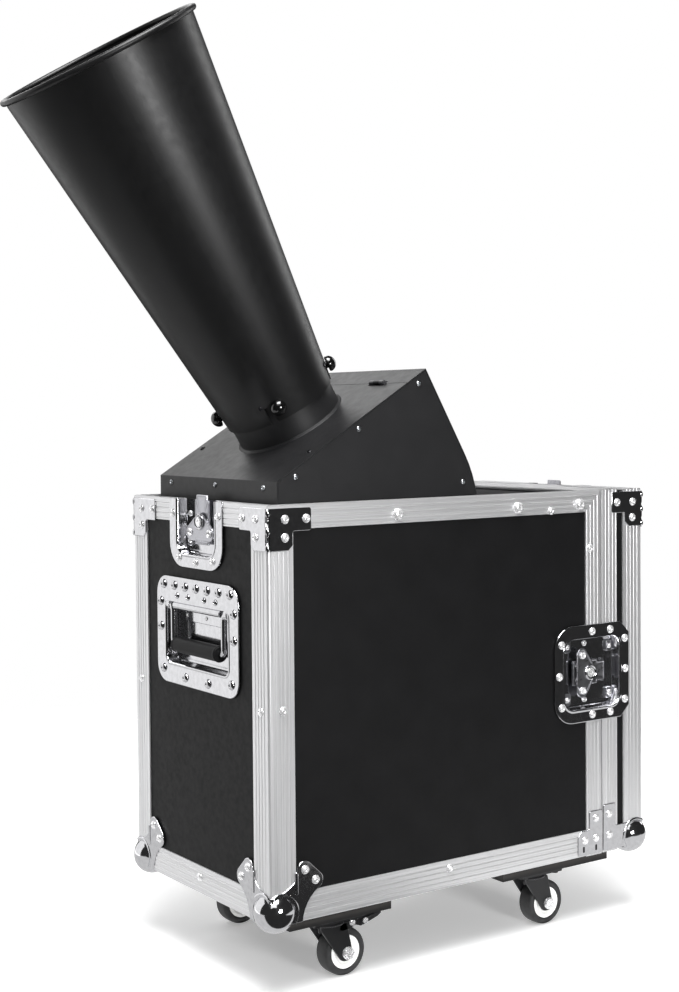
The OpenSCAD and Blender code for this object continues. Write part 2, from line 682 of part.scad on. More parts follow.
module door_corners() color("#c6c7cb") place() both_sides() {
    // Ball corner with its petal on the outer face and a long plate on the side
    difference() {
        union() {
            translate([door_x1, 0, door_floor]) mirror([1, 0, 0]) ball_cap();
            near_face() linear_extrude(plate_t) {
                translate([door_x0 + 1, door_floor + 2]) square([19, 53]);
                translate([door_x0 + 1, door_floor + 2]) square([door_depth - 14, 27]);
            }
            translate([door_x1, 0, 0]) rotate([90, 0, 90]) petal();
        }
        near_face() rivets([for (p = door_plate_rivets) [door_x0 + p[0], p[1]]],
            plate_t, plate_t, hole = true);
        box([door_x0 + 1, -ball_r, -ball_r], [door_x1 - eps, ball_r, 0]);
    }
    // Upper brace
    difference() {
        union() {
            translate([door_x1, 0, case_h]) {
                near_face() linear_extrude(plate_t) mirror([1, 0]) {
                    translate([1, -27]) square([47.5, 24]);
                    polygon([[1, -43], [22, -43], [27.5, -37.5], [27.5, -26], [1, -26]]);
                }
                rotate([90, 0, 90]) brace_plate();
            }
            box([door_x1 - 1 - eps, -plate_t, case_h - 43], [door_x1 + plate_t, 0, case_h - 3]);
            box([door_x1, -plate_t, case_h - 43], [door_x1 + plate_t, 1 + eps, case_h - 3]);
        }
        near_face() rivets([for (p = [[40, -15], [15.5, -15], [16, -33]])
            [door_x1 - p[0], case_h + p[1]]], plate_t, plate_t, hole = true);
    }
}
module door_dishes() color("#c9cacd") place() {
    both_sides() at_seam_latch() mirror([1, 0, 0]) difference() {
        union() {
            latch_dish(keeper_w);
            // Keeper bar under the hook's tab
            translate([-12, -13, plate_t - pan_depth - eps]) cube([4, 26, 2.6]);
        }
        mirror([1, 0, 0]) rivets(keeper_rivets, plate_t, plate_t, hole = true);
    }
    at_door_latch() seam_dish(latch_w, lid_post_x);
    door_face() handle_dish_body();
}
module door_handle() color("#2a2a2c") place() door_face() {
    bail();
    grip();
}
module door_latch_wing() color("#8f9196") place() at_door_latch() latch_wing(lid_post_x);
module door_latch_hook() color("#9b9da2") place() at_door_latch() latch_hook(lid_tab, lid_post_x);

// Undercarriage

plank_x_left = 29.5;
plank_x_right = tub_len + 19 - plank_w_right;
swivel_xs = [plank_x_left + plank_w_left/2 - 2.5, plank_x_right + 59];
swivel_ys = [swivel_inset, case_w - swivel_inset];
plate_z = -plank_t;
fork_top = plate_z - 6.5;
fork_t = 2.5;
axle_z = floor_z + wheel_d/2;
wheel_top = axle_z + wheel_d/2;
kingpin_r = 6;
axle_r = 4;
leg_in = wheel_w/2 + 1;
plate_bolts = [for (sx = [-1, 1], sy = [-1, 1]) [sx*23, sy*18]];
module at_caster(i, j) translate([swivel_xs[i], swivel_ys[j], 0]) children();

module caster_planks() color("#141415") place() difference() {
    for (p = [[plank_x_left, plank_w_left], [plank_x_right, plank_w_right]])
        box([p[0], plank_inset, -plank_t], [p[0] + p[1], case_w - plank_inset, 0]);
    for (i = [0, 1], j = [0, 1]) at_caster(i, j) for (b = plate_bolts)
        translate([b[0], b[1], -2*plank_t]) cylinder(r = 2.5 + run, h = 3*plank_t);
}
module caster_plates() color("#1b1b1d") place() for (i = [0, 1], j = [0, 1]) at_caster(i, j) {
    difference() {
        union() {
            translate([-29, -24, plate_z - fork_t]) cube([58, 48, fork_t]);
            translate([0, 0, fork_top + seat]) cylinder(r = 17, h = plate_z - fork_top - 1);
        }
        for (b = plate_bolts) translate([b[0], b[1], -3*plank_t])
            cylinder(r = 2.5 + run, h = 4*plank_t);
    }
    translate([0, 0, fork_top - fork_t - seat - 1]) cylinder(r = kingpin_r, h = 6);
    translate([0, 0, fork_top - fork_t - seat - 2.2]) cylinder(r = 9, h = 2.2);
    for (b = plate_bolts) translate([b[0], b[1], 0]) {
        translate([0, 0, plate_z - fork_t - 2]) cylinder(r = 4.2, h = 2);
        translate([0, 0, plate_z - fork_t - eps]) cylinder(r = 2.5, h = plank_t + fork_t);
    }
}
brake_x = 24;
brake_z = fork_top - 3;
module leg_2d(braked) {
    polygon([[-15, fork_top], [15, fork_top], [trail + 7.4, axle_z + 3], [trail - 7.4, axle_z - 3]]);
    translate([trail, axle_z]) circle(8);
    if (braked) polygon([[10, fork_top], [brake_x + 5, fork_top], [brake_x + 5, brake_z - 3],
        [brake_x, brake_z - 5], [10, brake_z - 8]]);
}
module fork(braked) {
    difference() {
        union() {
            translate([0, 0, fork_top - fork_t]) cylinder(r = 19, h = fork_t);
            for (s = [-1, 1]) translate([0, s*(leg_in + fork_t/2) + fork_t/2, 0])
                rotate([90, 0, 0]) linear_extrude(fork_t) leg_2d(braked);
            if (braked) translate([14, -leg_in - fork_t, fork_top - 1.2])
                cube([2, 2*(leg_in + fork_t), 1.2]);
        }
        translate([0, 0, fork_top - 10]) cylinder(r = kingpin_r + run, h = 20);
        translate([trail, 0, axle_z]) rotate([90, 0, 0])
            cylinder(r = axle_r + run, h = 60, center = true);
        if (braked) translate([brake_x, 0, brake_z]) rotate([90, 0, 0])
            cylinder(r = 2 + run, h = 60, center = true);
    }
    // Axle bolt and nut
    translate([trail, 0, axle_z]) rotate([90, 0, 0]) {
        cylinder(r = axle_r, h = 2*(leg_in + fork_t) + 2, center = true);
        translate([0, 0, leg_in + fork_t]) cylinder(r = 6.6, h = 3);
        translate([0, 0, -leg_in - fork_t - 4]) cylinder(r = 6.6, h = 4, $fn = 6);
    }
    if (braked) translate([brake_x, 0, brake_z]) rotate([90, 0, 0]) {
        cylinder(r = 2, h = 2*(leg_in + fork_t), center = true);
        for (s = [-1, 1]) translate([0, 0, s*(leg_in + fork_t + 0.6)])
            cylinder(r = 3.4, h = 1.2, center = true);
    }
}
module wheel() translate([trail, 0, axle_z]) rotate([90, 0, 0]) {
    hub_r = wheel_d/2 - 7.5;
    rotate_extrude() polygon([[axle_r + run, -wheel_w/2 - 0.5], [7, -wheel_w/2 - 0.5],
        [8, -wheel_w/2 + 3], [hub_r - 4, -wheel_w/2 + 3], [hub_r - 3, -wheel_w/2 + 0.5],
        [hub_r, -wheel_w/2 + 0.5], [hub_r, wheel_w/2 - 0.5], [hub_r - 3, wheel_w/2 - 0.5],
        [hub_r - 4, wheel_w/2 - 3], [8, wheel_w/2 - 3], [7, wheel_w/2 + 0.5],
        [axle_r + run, wheel_w/2 + 0.5]]);
    rotate_extrude() polygon([[hub_r + 0.02, -wheel_w/2], [wheel_d/2 - 2.5, -wheel_w/2],
        [wheel_d/2 - 0.8, -wheel_w*0.3], [wheel_d/2, -wheel_w*0.12], [wheel_d/2, wheel_w*0.12],
        [wheel_d/2 - 0.8, wheel_w*0.3], [wheel_d/2 - 2.5, wheel_w/2], [hub_r + 0.02, wheel_w/2]]);
}
module brake() difference() {
    union() {
        prism_y([[brake_x - 4.2, fork_top - 1.6], [brake_x + 7, fork_top - 0.6], [60, plate_z - 3.6],
            [62, plate_z - 6], [57, plate_z - 9], [36, fork_top - 6], [33, wheel_top - 0.4],
            [28, wheel_top - 0.4], [brake_x - 4.2, wheel_top + 2.4]], -leg_in + seat, leg_in - seat);
        prism_y([[36, fork_top - 1], [60, plate_z - 3.6], [62, plate_z - 6], [57, plate_z - 9],
            [38, fork_top - 5]], -leg_in - fork_t, leg_in + fork_t);
    }
    translate([brake_x, 0, brake_z]) rotate([90, 0, 0])
        cylinder(r = 2 + run, h = 60, center = true);
}
module fork_near_left() color("#202022") place() at_caster(0, 0) fork(true);
module fork_far_left() color("#202022") place() at_caster(0, 1) fork(true);
module fork_near_right() color("#202022") place() at_caster(1, 0) fork(false);
module fork_far_right() color("#202022") place() at_caster(1, 1) fork(false);
module wheel_near_left() color("#2b2b2d") place() at_caster(0, 0) wheel();
module wheel_far_left() color("#2b2b2d") place() at_caster(0, 1) wheel();
module wheel_near_right() color("#2b2b2d") place() at_caster(1, 0) wheel();
module wheel_far_right() color("#2b2b2d") place() at_caster(1, 1) wheel();
module brake_near() color("#252527") place() at_caster(0, 0) brake();
module brake_far() color("#252527") place() at_caster(0, 1) brake();

// Machine: frames of the slope and of the barrel's axis

seam_s = slope_len - hatch_strip - hatch_gap;    // hatch seam, along the slope
module on_slope() translate([hood_x0, 0, lip_z]) rotate([0, -slope, 0]) children();
module on_axis() translate(axis_o) rotate([0, -slope, 0]) children();
function slope_pt(s, h) = [hood_x0 + s*cos(slope) - h*sin(slope), lip_z + s*sin(slope) + h*cos(slope)];
function axis_pt(u, h) = slope_pt(spigot_at + u, h);

chassis_x0 = hood_x0 + sheet_t;
chassis_x1 = hood_x1 - sheet_t;
chassis_z0 = panel_in;
face_x = chassis_x1 + sheet_t;       // front of the control panel
screw_r = 3;
flange_h = 10;
side_screws = [[21.5, -7.9], [112, -8.2], [202.5, -8.6]];
hinge_ys = [hood_y0 + 52, hood_y1 - 52];
hinge_w = 12;        // half the length of a hatch hinge
hinge_s = seam_s + hatch_gap/2;
hinge_h = 1;         // hinge axis above the slope's surface
pin_r = 1.2;

module screw(reach) {
    cylinder(r1 = screw_r, r2 = screw_r*0.6, h = 1.4);
    translate([0, 0, -reach]) cylinder(r = 1.5, h = reach + eps);
}
module screw_hole(reach) translate([0, 0, -reach - 2]) cylinder(r = 1.5 + run, h = reach + 4);
// Every screw of the hood, each reaching through two sheets
module hood_screw_set(hole = false) {
    reach = 2*sheet_t + 1.5;
    both_sides() {
        for (p = side_screws) translate([0, hood_y0, 0]) on_slope() translate([p[0], 0, p[1]])
            rotate([90, 0, 0]) if (hole) screw_hole(reach); else screw(reach);
        translate([hood_x1 - 19, hood_y0, case_h + 14.5]) rotate([90, 0, 0])
            if (hole) screw_hole(reach); else screw(reach);
        on_slope() translate([55, hood_y0 + 12, 0]) if (hole) screw_hole(reach); else screw(reach);
        translate([hood_x0, hood_y0 + 25, lip_z - 7]) rotate([0, -90, 0])
            if (hole) screw_hole(reach); else screw(reach);
    }
    translate([hood_x0, mid_y, lip_z - 7]) rotate([0, -90, 0])
        if (hole) screw_hole(reach); else screw(reach);
    // Control panel to the chassis
    for (s = [-1, 1], z = [5, panel_h/2, panel_h - 5])
        translate([face_x, mid_y + s*(panel_w/2 - 5), panel_z0 + z]) rotate([0, 90, 0])
            if (hole) screw_hole(reach); else screw(reach);
}
module hood_screws() color("#d7d8db") place() hood_screw_set();

module chassis() color("#232325") place() difference() {
    union() {
        box([chassis_x0, chassis_y, chassis_z0], [chassis_x1, case_w - chassis_y, chassis_z0 + sheet_t]);
        box([chassis_x0, chassis_y, chassis_z0], [chassis_x0 + sheet_t, case_w - chassis_y, lip_z - 3]);
        box([chassis_x1 - sheet_t, chassis_y, chassis_z0], [chassis_x1, case_w - chassis_y, case_h - 14]);
        both_sides() prism_y([[chassis_x0, chassis_z0], [chassis_x1, chassis_z0],
            [chassis_x1, case_h - 14], [chassis_x1 - 12, case_h + 19], [chassis_x0 + 35, case_h + 19],
            [chassis_x0, case_h + 5]], chassis_y, chassis_y + sheet_t);
    }
    rim_bolt_holes();
    hood_screw_set(hole = true);
    // Window behind the control panel
    box([chassis_x1 - 2*sheet_t, mid_y - panel_w/2 + 10, panel_z0 + 10],
        [chassis_x1 + 1, mid_y + panel_w/2 - 10, panel_z0 + panel_h - 10]);
}
module hood_cover() color("#262628") place() difference() {
    union() {
        // Folded sheet: front lip and slope, up to the hatch seam
        prism_y([[hood_x0, hood_z0], [hood_x0 + sheet_t, hood_z0],
            [hood_x0 + sheet_t, lip_z + sheet_t*tan(slope) - sheet_t/cos(slope)],
            slope_pt(seam_s, -sheet_t), slope_pt(seam_s, 0), [hood_x0, lip_z]], hood_y0, hood_y1);
        // Side flanges folded down inside the side plates
        both_sides() translate([0, chassis_y, 0]) on_slope() {
            translate([6, 0, -sheet_t - flange_h]) cube([seam_s - 6, sheet_t, flange_h + eps]);
            translate([seam_s - 1, 0, -sheet_t - flange_h]) cube([17, sheet_t, flange_h - 1]);
        }
        // Fixed strip below the hatch
        box([hood_x1 - sheet_t, hood_y0 + sheet_t, hood_z0], [hood_x1, hood_y1 - sheet_t, case_h]);
    }
    on_axis() cylinder(r = spigot_r + 0.1, h = 40, center = true);
    hood_screw_set(hole = true);
    hinge_slots();
}
module hinge_slots() on_slope() for (y = hinge_ys)
    translate([hinge_s - 4.5, y - hinge_w - 1.6, -3*sheet_t]) cube([9, 2*hinge_w + 3.2, 20]);
module hood_sides() color("#1f1f21") place() difference() {
    both_sides() prism_y(inset(hood_profile, sheet_t + seat), hood_y0, hood_y0 + sheet_t);
    rim_bolt_holes();
    hood_screw_set(hole = true);
}

// Hatch: strip on the slope and curved back, hinged at the seam
hatch_low = case_h + 0.8;
module hatch_sheet() {
    inner = inset(hood_profile, sheet_t);
    n = len(hood_profile);
    difference() {
        prism_y(concat([slope_pt(seam_s + hatch_gap, 0)], [for (i = [n-2:-1:2]) hood_profile[i]],
            [for (i = [2:n-2]) inner[i]], [slope_pt(seam_s + hatch_gap, -sheet_t)]), hood_y0, hood_y1);
        box([hood_x0, 0, 0], [hood_x1 + 1, case_w, hatch_low]);
        hinge_slots();
    }
}
pull_a = 74;         // place of the pull on the curved back
module hatch() color("#2d2d30") place() {
    difference() {
        hatch_sheet();
        hatch_pull_place() cylinder(r = 2 + run, h = 40, center = true);
    }
    hatch_pull_place() {
        cylinder(r = 7, h = 3);
        translate([0, 0, 3 - eps]) cylinder(r1 = 4, r2 = 7, h = 9);
        translate([0, 0, -sheet_t - 3]) cylinder(r = 2, h = sheet_t + 3 + eps);
    }
    on_slope() for (y = hinge_ys) translate([hinge_s, y, hinge_h]) difference() {
        union() {
            rotate([90, 0, 0]) cylinder(r = 2.6, h = 10, center = true);
            translate([0, -5, -hinge_h - sheet_t - 1]) cube([2.6, 10, hinge_h + sheet_t + 1]);
            translate([eps, -5, -hinge_h - sheet_t - 1.2]) cube([6, 10, 1.2]);
            translate([5, -hinge_w, -hinge_h - sheet_t - 1.2]) cube([16, 2*hinge_w, 1.2]);
        }
        rotate([90, 0, 0]) cylinder(r = pin_r + run, h = 30, center = true);
    }
}
module hatch_pull_place() translate([back_c[0] + back_r*sin(pull_a), mid_y,
    back_c[1] + back_r*cos(pull_a)]) rotate([0, pull_a, 0]) translate([0, 0, 0.05]) children();
module hatch_hinges() color("#6f7176") place() on_slope() for (y = hinge_ys)
    translate([hinge_s, y, hinge_h]) {
        difference() {
            union() {
                for (s = [-1, 1]) translate([0, s*(hinge_w + 5.2)/2, 0]) {
                    rotate([90, 0, 0]) cylinder(r = 2.6, h = hinge_w - 5.2, center = true);
                    translate([-2.6, -(hinge_w - 5.2)/2, -hinge_h - sheet_t - 1])
                        cube([2.6, hinge_w - 5.2, hinge_h + sheet_t + 1]);
                    translate([-6, -(hinge_w - 5.2)/2, -hinge_h - sheet_t - 1.2])
                        cube([6 - eps, hinge_w - 5.2, 1.2]);
                }
                translate([-21, -hinge_w, -hinge_h - sheet_t - 1.2]) cube([16, 2*hinge_w, 1.2]);
            }
            rotate([90, 0, 0]) cylinder(r = pin_r + run, h = 30, center = true);
        }
        rotate([90, 0, 0]) cylinder(r = pin_r, h = 2*hinge_w + 1, center = true);
        for (s = [-1, 1]) translate([0, s*(hinge_w + 0.75), 0]) rotate([90, 0, 0])
            cylinder(r = 2, h = 0.9, center = true);
    }

// Spigot: collar that carries the barrel, open into the hopper below
spigot_t = 1.5;
spigot_low = -108;
stud_r = 4;
module at_knob(i) on_axis() rotate([0, 0, knob_a + 90*i]) translate([0, 0, knob_h])
    rotate([0, 90, 0]) children();
module spigot() color("#1e1e20") place() difference() {
    on_axis() {
        translate([0, 0, spigot_low]) cylinder(r = spigot_r, h = spigot_h - spigot_low);
        translate([0, 0, -sheet_t - 3]) cylinder(r = spigot_r + 13, h = 3);
    }
    on_axis() difference() {
        translate([0, 0, spigot_low - 1]) cylinder(r = spigot_r - spigot_t, h = spigot_h - spigot_low + 2);
        // Nuts for the knobs stay on the wall
        for (i = [0:3]) rotate([0, 0, knob_a + 90*i]) translate([0, 0, knob_h]) rotate([0, 90, 0])
            translate([0, 0, spigot_r - 8]) cylinder(r = 8, h = 10, $fn = 6);
    }
    for (i = [0:3]) at_knob(i) translate([0, 0, spigot_r - 20])
        cylinder(r = stud_r + run, h = 40);
}
module clamp_knob(i) at_knob(i) translate([0, 0, knob_seat]) {
    difference() {
        translate([0, 0, 0.8]) sphere(r = knob_r);
        translate([0, 0, -2*knob_r]) cylinder(r = 2*knob_r, h = 2*knob_r);
    }
    translate([0, 0, spigot_r - 9 - knob_seat]) cylinder(r = stud_r, h = knob_seat - spigot_r + 9 + 1);
}
module clamp_knob_1() color("#0c0c0d") place() clamp_knob(0);
module clamp_knob_2() color("#0c0c0d") place() clamp_knob(1);
module clamp_knob_3() color("#0c0c0d") place() clamp_knob(2);
module clamp_knob_4() color("#0c0c0d") place() clamp_knob(3);

slot_end = asin(slot_w/2/barrel_r) + 0.3;    // slot's length past the knob, degrees
module barrel() color("#242426") place() on_axis() difference() {
    rotate_extrude($fn = 96) {
        polygon([[barrel_r - barrel_t, barrel_lift], [barrel_r, barrel_lift],
            [mouth_r, mouth_h - bead_r], [mouth_r - barrel_t, mouth_h - bead_r]]);
        translate([bead_ring, mouth_h - bead_r]) circle(bead_r);
    }
    for (i = [0:3]) rotate([0, 0, knob_a + 90*i]) {
        // Slot round the barrel, from the knob to its entry
        rotate([0, 0, -bayonet_turn]) {
            rotate_extrude(angle = bayonet_turn + slot_end)
                translate([barrel_r - 9, knob_h - slot_w/2]) square([20, slot_w]);
            translate([barrel_r - 9, -slot_w/2, barrel_lift - 1])
                cube([20, slot_w, knob_h + slot_w/2 - barrel_lift + 1]);
        }
        // Small hole beside the entry
        rotate([0, 0, -bayonet_turn - 7]) translate([barrel_r - 9, 0, knob_h + 6])
            rotate([0, 90, 0]) cylinder(r = 1.3, h = 20);
    }
}

// Hopper round the spigot's lower end, open under the hatch
hopper_u0 = -70;
hopper_u1 = 60;
hopper_h = -190;
hopper_top = -5;
hopper_gap = 8;
hopper_x1 = axis_pt(hopper_u1, hopper_h)[0];
hopper_z1 = case_h + 20;
hopper_low_u = (hopper_x1 - sheet_t - axis_o[0] + (hopper_h + sheet_t)*sin(slope))/cos(slope);
module hopper() color("#5b5d61") place() difference() {
    union() {
        hopper_tub();
        // Lips folded out to the hood's flanges
        both_sides() translate([0, chassis_y + sheet_t, 0]) on_slope() {
            translate([50, 0, hopper_top - sheet_t]) cube([seam_s - 60, hopper_gap + eps, sheet_t]);
            translate([50, 0, hopper_top - 6]) cube([seam_s - 60, sheet_t, 6]);
        }
    }
    hood_screw_set(hole = true);
}
module hopper_tub() difference() {
    y0 = chassis_y + sheet_t + hopper_gap;
    prism_y([axis_pt(hopper_u0, hopper_top), axis_pt(hopper_u0, hopper_h),
        axis_pt(hopper_u1, hopper_h), [hopper_x1, hopper_z1],
        slope_pt(seam_s - 6, hopper_top)], y0, case_w - y0);
    prism_y([axis_pt(hopper_u0 + sheet_t, 30), axis_pt(hopper_u0 + sheet_t, hopper_h + sheet_t),
        axis_pt(hopper_low_u, hopper_h + sheet_t), [hopper_x1 - sheet_t, hopper_z1 + 60],
        slope_pt(seam_s, 60)], y0 + sheet_t, case_w - y0 - sheet_t);
    on_axis() translate([0, 0, hopper_h - 5]) cylinder(r = nozzle_r + run, h = 20);
}
nozzle_r = 8;
valve_top = hopper_h - 16;
valve_h = 40;
module gas_nozzle() color("#b9a36a") place() on_axis() difference() {
    union() {
        translate([0, 0, valve_top]) cylinder(r = nozzle_r, h = 46);
        translate([0, 0, valve_top + 46 - eps]) cylinder(r1 = nozzle_r, r2 = 5, h = 15);
        translate([0, 0, hopper_h + sheet_t]) cylinder(r = 13, h = 6, $fn = 6);
        translate([0, 0, hopper_h - 6]) cylinder(r = 13, h = 6, $fn = 6);
    }
    translate([0, 0, valve_top - 1]) cylinder(r = 3, h = 80);
}
gas_z = 78;          // height of the gas inlet on the control panel
pipe_r = 5;
pipe_x = axis_pt(0, valve_top - valve_h - 10)[0];
pipe_z = axis_pt(0, valve_top - valve_h - 10)[1];
module solenoid_valve() color("#8d8f94") place() on_axis() difference() {
    union() {
        translate([-16, -16, valve_top - valve_h]) cube([32, 32, valve_h - eps]);
        translate([0, 16 - eps, valve_top - valve_h/2]) rotate([-90, 0, 0]) cylinder(r = 14, h = 38);
        translate([-12, 54 - eps, valve_top - valve_h/2 - 12]) cube([24, 3, 24]);
    }
    translate([0, 0, valve_top - valve_h - 1]) cylinder(r = 3, h = valve_h + 2);
}
inlet_r = 8.33;      // inlet's thread, outside
inlet_len = 14;
module gas_pipes() color("#a8aaaf") place() {
    difference() {
        union() {
            on_axis() translate([0, 0, valve_top - valve_h - 10]) cylinder(r = pipe_r, h = 10 - eps);
            translate([pipe_x, mid_y, pipe_z]) sphere(r = pipe_r);
            translate([pipe_x, mid_y, gas_z]) cylinder(r = pipe_r, h = pipe_z - gas_z);
            translate([pipe_x, mid_y, gas_z]) sphere(r = pipe_r);
            translate([pipe_x, mid_y, gas_z]) rotate([0, 90, 0])
                cylinder(r = pipe_r, h = face_x - pipe_x);
            // Inlet through the control panel, with its nuts and thread
            translate([face_x - sheet_t - 8, mid_y, gas_z]) rotate([0, 90, 0])
                cylinder(r = 13, h = 8, $fn = 6);
            translate([face_x - sheet_t - 1, mid_y, gas_z]) rotate([0, 90, 0])
                cylinder(r = inlet_r, h = sheet_t + 7 + inlet_len);
            translate([face_x, mid_y, gas_z]) rotate([0, 90, 0]) cylinder(r = 13, h = 6, $fn = 6);
        }
        translate([face_x + 6 + inlet_len - 18, mid_y, gas_z]) rotate([0, 90, 0])
            cylinder(r = 4, h = 30);
    }
}

// Control panel on the chassis's door side
panel_w = case_w - 2*hood_inset - 30;
panel_h = 216;
panel_z0 = 34;
display_yz = [mid_y - 50, panel_z0 + 180];
keys_yz = [mid_y - 50, panel_z0 + 152];
fire_yz = [mid_y + 12, panel_z0 + 172];
switch_yz = [mid_y + 62, panel_z0 + 172];
mains_yz = [mid_y + 62, panel_z0 + 106];
dmx_yz = [[mid_y - 70, panel_z0 + 104], [mid_y - 26, panel_z0 + 104]];
module at_panel(p) translate([face_x, p[0], p[1]]) rotate([90, 0, 90]) children();
module control_panel() color("#1a1a1c") place() difference() {
    box([chassis_x1, mid_y - panel_w/2, panel_z0], [face_x, mid_y + panel_w/2, panel_z0 + panel_h]);
    at_panel(display_yz) cube([60.4, 26.4, 20], center = true);
    at_panel(fire_yz) cylinder(r = 9.5 + run, h = 20, center = true);
    at_panel(switch_yz) cube([19.4, 27.4, 20], center = true);
    at_panel(mains_yz) cube([28.4, 22.4, 20], center = true);
    for (p = dmx_yz) at_panel(p) cylinder(r = 12.1, h = 20, center = true);
    translate([face_x, mid_y, gas_z]) rotate([0, 90, 0]) cylinder(r = inlet_r + run, h = 20, center = true);
    hood_screw_set(hole = true);
}
module panel_sockets() color("#303034") place() {
    // Display with its window, and the membrane keys below it
    at_panel(display_yz) {
        translate([-30, -13, -6]) cube([60, 26, 6]);
        difference() {
            translate([-33, -16, 0]) cube([66, 32, 1.6]);
            translate([-27, -10, 0.6]) cube([54, 20, 3]);
        }
    }
    at_panel(keys_yz) {
        translate([-33, -9, 0]) cube([66, 18, 0.8]);
        for (i = [0:3]) translate([-23 + 15.3*i, 0, 0.8 - eps]) cylinder(r = 5, h = 0.5);
    }
    // Bezels of the fire button and the power switch
    at_panel(fire_yz) difference() {
        union() {
            cylinder(r = 13, h = 3);
            translate([0, 0, -18]) cylinder(r = 9.5, h = 18 + eps);
        }
        translate([0, 0, -12]) cylinder(r = 7 + run, h = 30);
    }
    at_panel(switch_yz) {
        difference() {
            union() {
                translate([-12, -16, 0]) cube([24, 32, 2]);
                translate([-9.5, -13.5, -16]) cube([19, 27, 16 + eps]);
            }
            translate([-7.5, -12, -13]) cube([15, 24, 30]);
        }
        translate([0, 0, -switch_depth]) rotate([0, 90, 0]) cylinder(r = 1, h = 16, center = true);
    }
    // Mains inlet with its three pins
    at_panel(mains_yz) {
        difference() {
            union() {
                translate([-25, -14, 0]) cube([50, 28, 2.5]);
                translate([-14, -11, -24]) cube([28, 22, 24 + eps]);
            }
            translate([-12, -8, -17]) cube([24, 16, 30]);
        }
        for (x = [-7, 0, 7]) translate([x - 1, -2.5, -17 - eps]) cube([2, 5, 13]);
    }
    // Data input and output sockets
    for (i = [0, 1]) at_panel(dmx_yz[i]) {
        difference() {
            union() {
                translate([-13, -15.5, 0]) cube([26, 31, 2.2]);
                translate([0, 0, -20]) cylinder(r = 12, h = 20 + eps);
            }
            translate([0, 0, -12]) cylinder(r = 8, h = 30);
        }
        if (i == 0) for (a = [0, 120, 240]) rotate([0, 0, a]) translate([0, 4.4, -12 - eps])
            cylinder(r = 1.1, h = 9);
        if (i == 1) translate([0, 0, -12 - eps]) difference() {
            cylinder(r = 6.6, h = 11);
            for (a = [60, 180, 300]) rotate([0, 0, a]) translate([0, 4, 1]) cylinder(r = 1.3, h = 12);
        }
    }
}
switch_turn = 14;
switch_depth = 4;
module power_switch() color("#b3241f") place() at_panel(switch_yz)
    translate([0, 0, -switch_depth]) rotate([switch_turn/2, 0, 0]) rotate([90, 0, 90])
        difference() {
            linear_extrude(14.4, center = true) polygon([[-7, -5], [7, -5], [9.6, 6], [9, 8],
                [0, 5.6], [-9, 8], [-9.6, 6]]);
            cylinder(r = 1 + run, h = 30, center = true);
        }
module fire_button() color("#c8281f") place() at_panel(fire_yz) {
    translate([0, 0, -8]) cylinder(r = 7, h = 13);
    translate([0, 0, 5 - eps]) cylinder(r1 = 7, r2 = 5.5, h = 1.4);
}
module control_board() color("#1f5a35") place() {
    // Board behind the display, on pillars from the panel
    box([face_x - 20, mid_y - 92, panel_z0 + 136], [face_x - 18.4, mid_y - 8, panel_z0 + 202]);
    box([face_x - 31, mid_y - 80, panel_z0 + 150], [face_x - 20 + eps, mid_y - 60, panel_z0 + 172]);
    box([face_x - 28, mid_y - 50, panel_z0 + 178], [face_x - 20 + eps, mid_y - 22, panel_z0 + 194]);
    for (y = [-88, -12], z = [141, 197]) translate([face_x - 18.4 - eps, mid_y + y, panel_z0 + z])
        rotate([0, 90, 0]) cylinder(r = 2.6, h = 18.4 - sheet_t);
}
module power_supply() color("#9a9ca1") place() translate([chassis_x0 + 40, mid_y - 70,
    chassis_z0 + sheet_t]) {
    w = [110, 90, 38];
    difference() {
        cube(w);
        translate([sheet_t, sheet_t, sheet_t]) cube(w - 2*sheet_t*[1, 1, 1]);
        for (i = [0:9]) translate([11 + 9*i, 12, 20]) cube([4, 66, 30]);
    }
    // Board on pillars, with its transformer and capacitors
    translate([5, 5, 6]) cube([100, 80, 1.6]);
    for (x = [10, 100], y = [10, 80]) translate([x, y, sheet_t - eps]) cylinder(r = 2.5, h = 6 - sheet_t);
    translate([14, 28, 7.6 - eps]) cube([34, 30, 24]);
    for (y = [26, 60]) translate([76, y, 7.6 - eps]) cylinder(r = 10, h = 25);
}
deck_top = case_h - 5;
module bay_deck() color("#202022") place() difference() {
    union() {
        box([hood_x1 + seat, rim_t, deck_top - sheet_t], [tub_len - web_t - seat, case_w - rim_t, deck_top]);
        both_sides() box([hood_x1 + seat, rim_t, deck_top - 28],
            [tub_len - inner_leg - 4, rim_t + sheet_t, deck_top - eps]);
    }
    rim_bolt_holes();
}

floor_panel();
side_panels();
left_end_panel();
corner_extrusions();
edge_extrusions();
ball_corners();
corner_braces();
case_rivets();
rim_bolts();
recessed_dishes();
caster_planks();
caster_plates();
chassis();
hood_cover();
hood_sides();
hood_screws();
hatch_hinges();
spigot();
hopper();
gas_nozzle();
solenoid_valve();
gas_pipes();
control_panel();
panel_sockets();
control_board();
power_supply();
bay_deck();
barrel();
clamp_knob_1();
clamp_knob_2();
clamp_knob_3();
clamp_knob_4();
hatch();
end_handle();
near_latch_wing();
near_latch_hook();
far_latch_wing();
far_latch_hook();
lid_latch_wing();
lid_latch_hook();
door_panels();
door_extrusions();
door_corners();
door_rivets();
door_dishes();
door_handle();
door_latch_wing();
door_latch_hook();
fork_near_left();
fork_far_left();
fork_near_right();
fork_far_right();
wheel_near_left();
wheel_far_left();
wheel_near_right();
wheel_far_right();
brake_near();
brake_far();
power_switch();
fire_button();
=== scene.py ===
"""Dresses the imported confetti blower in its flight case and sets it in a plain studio.

Every place comes from the frame. Pieces are worked out in case millimetres: x from the case's left end to its
door, y from the near long side to the far one, z up from the underside of the case. A place is an array of an
origin and three directions, and pieces are carried by it into the frame's metres when their mesh is made."""
import math

import bmesh
import bpy
import numpy as np
from mathutils import Matrix, Vector


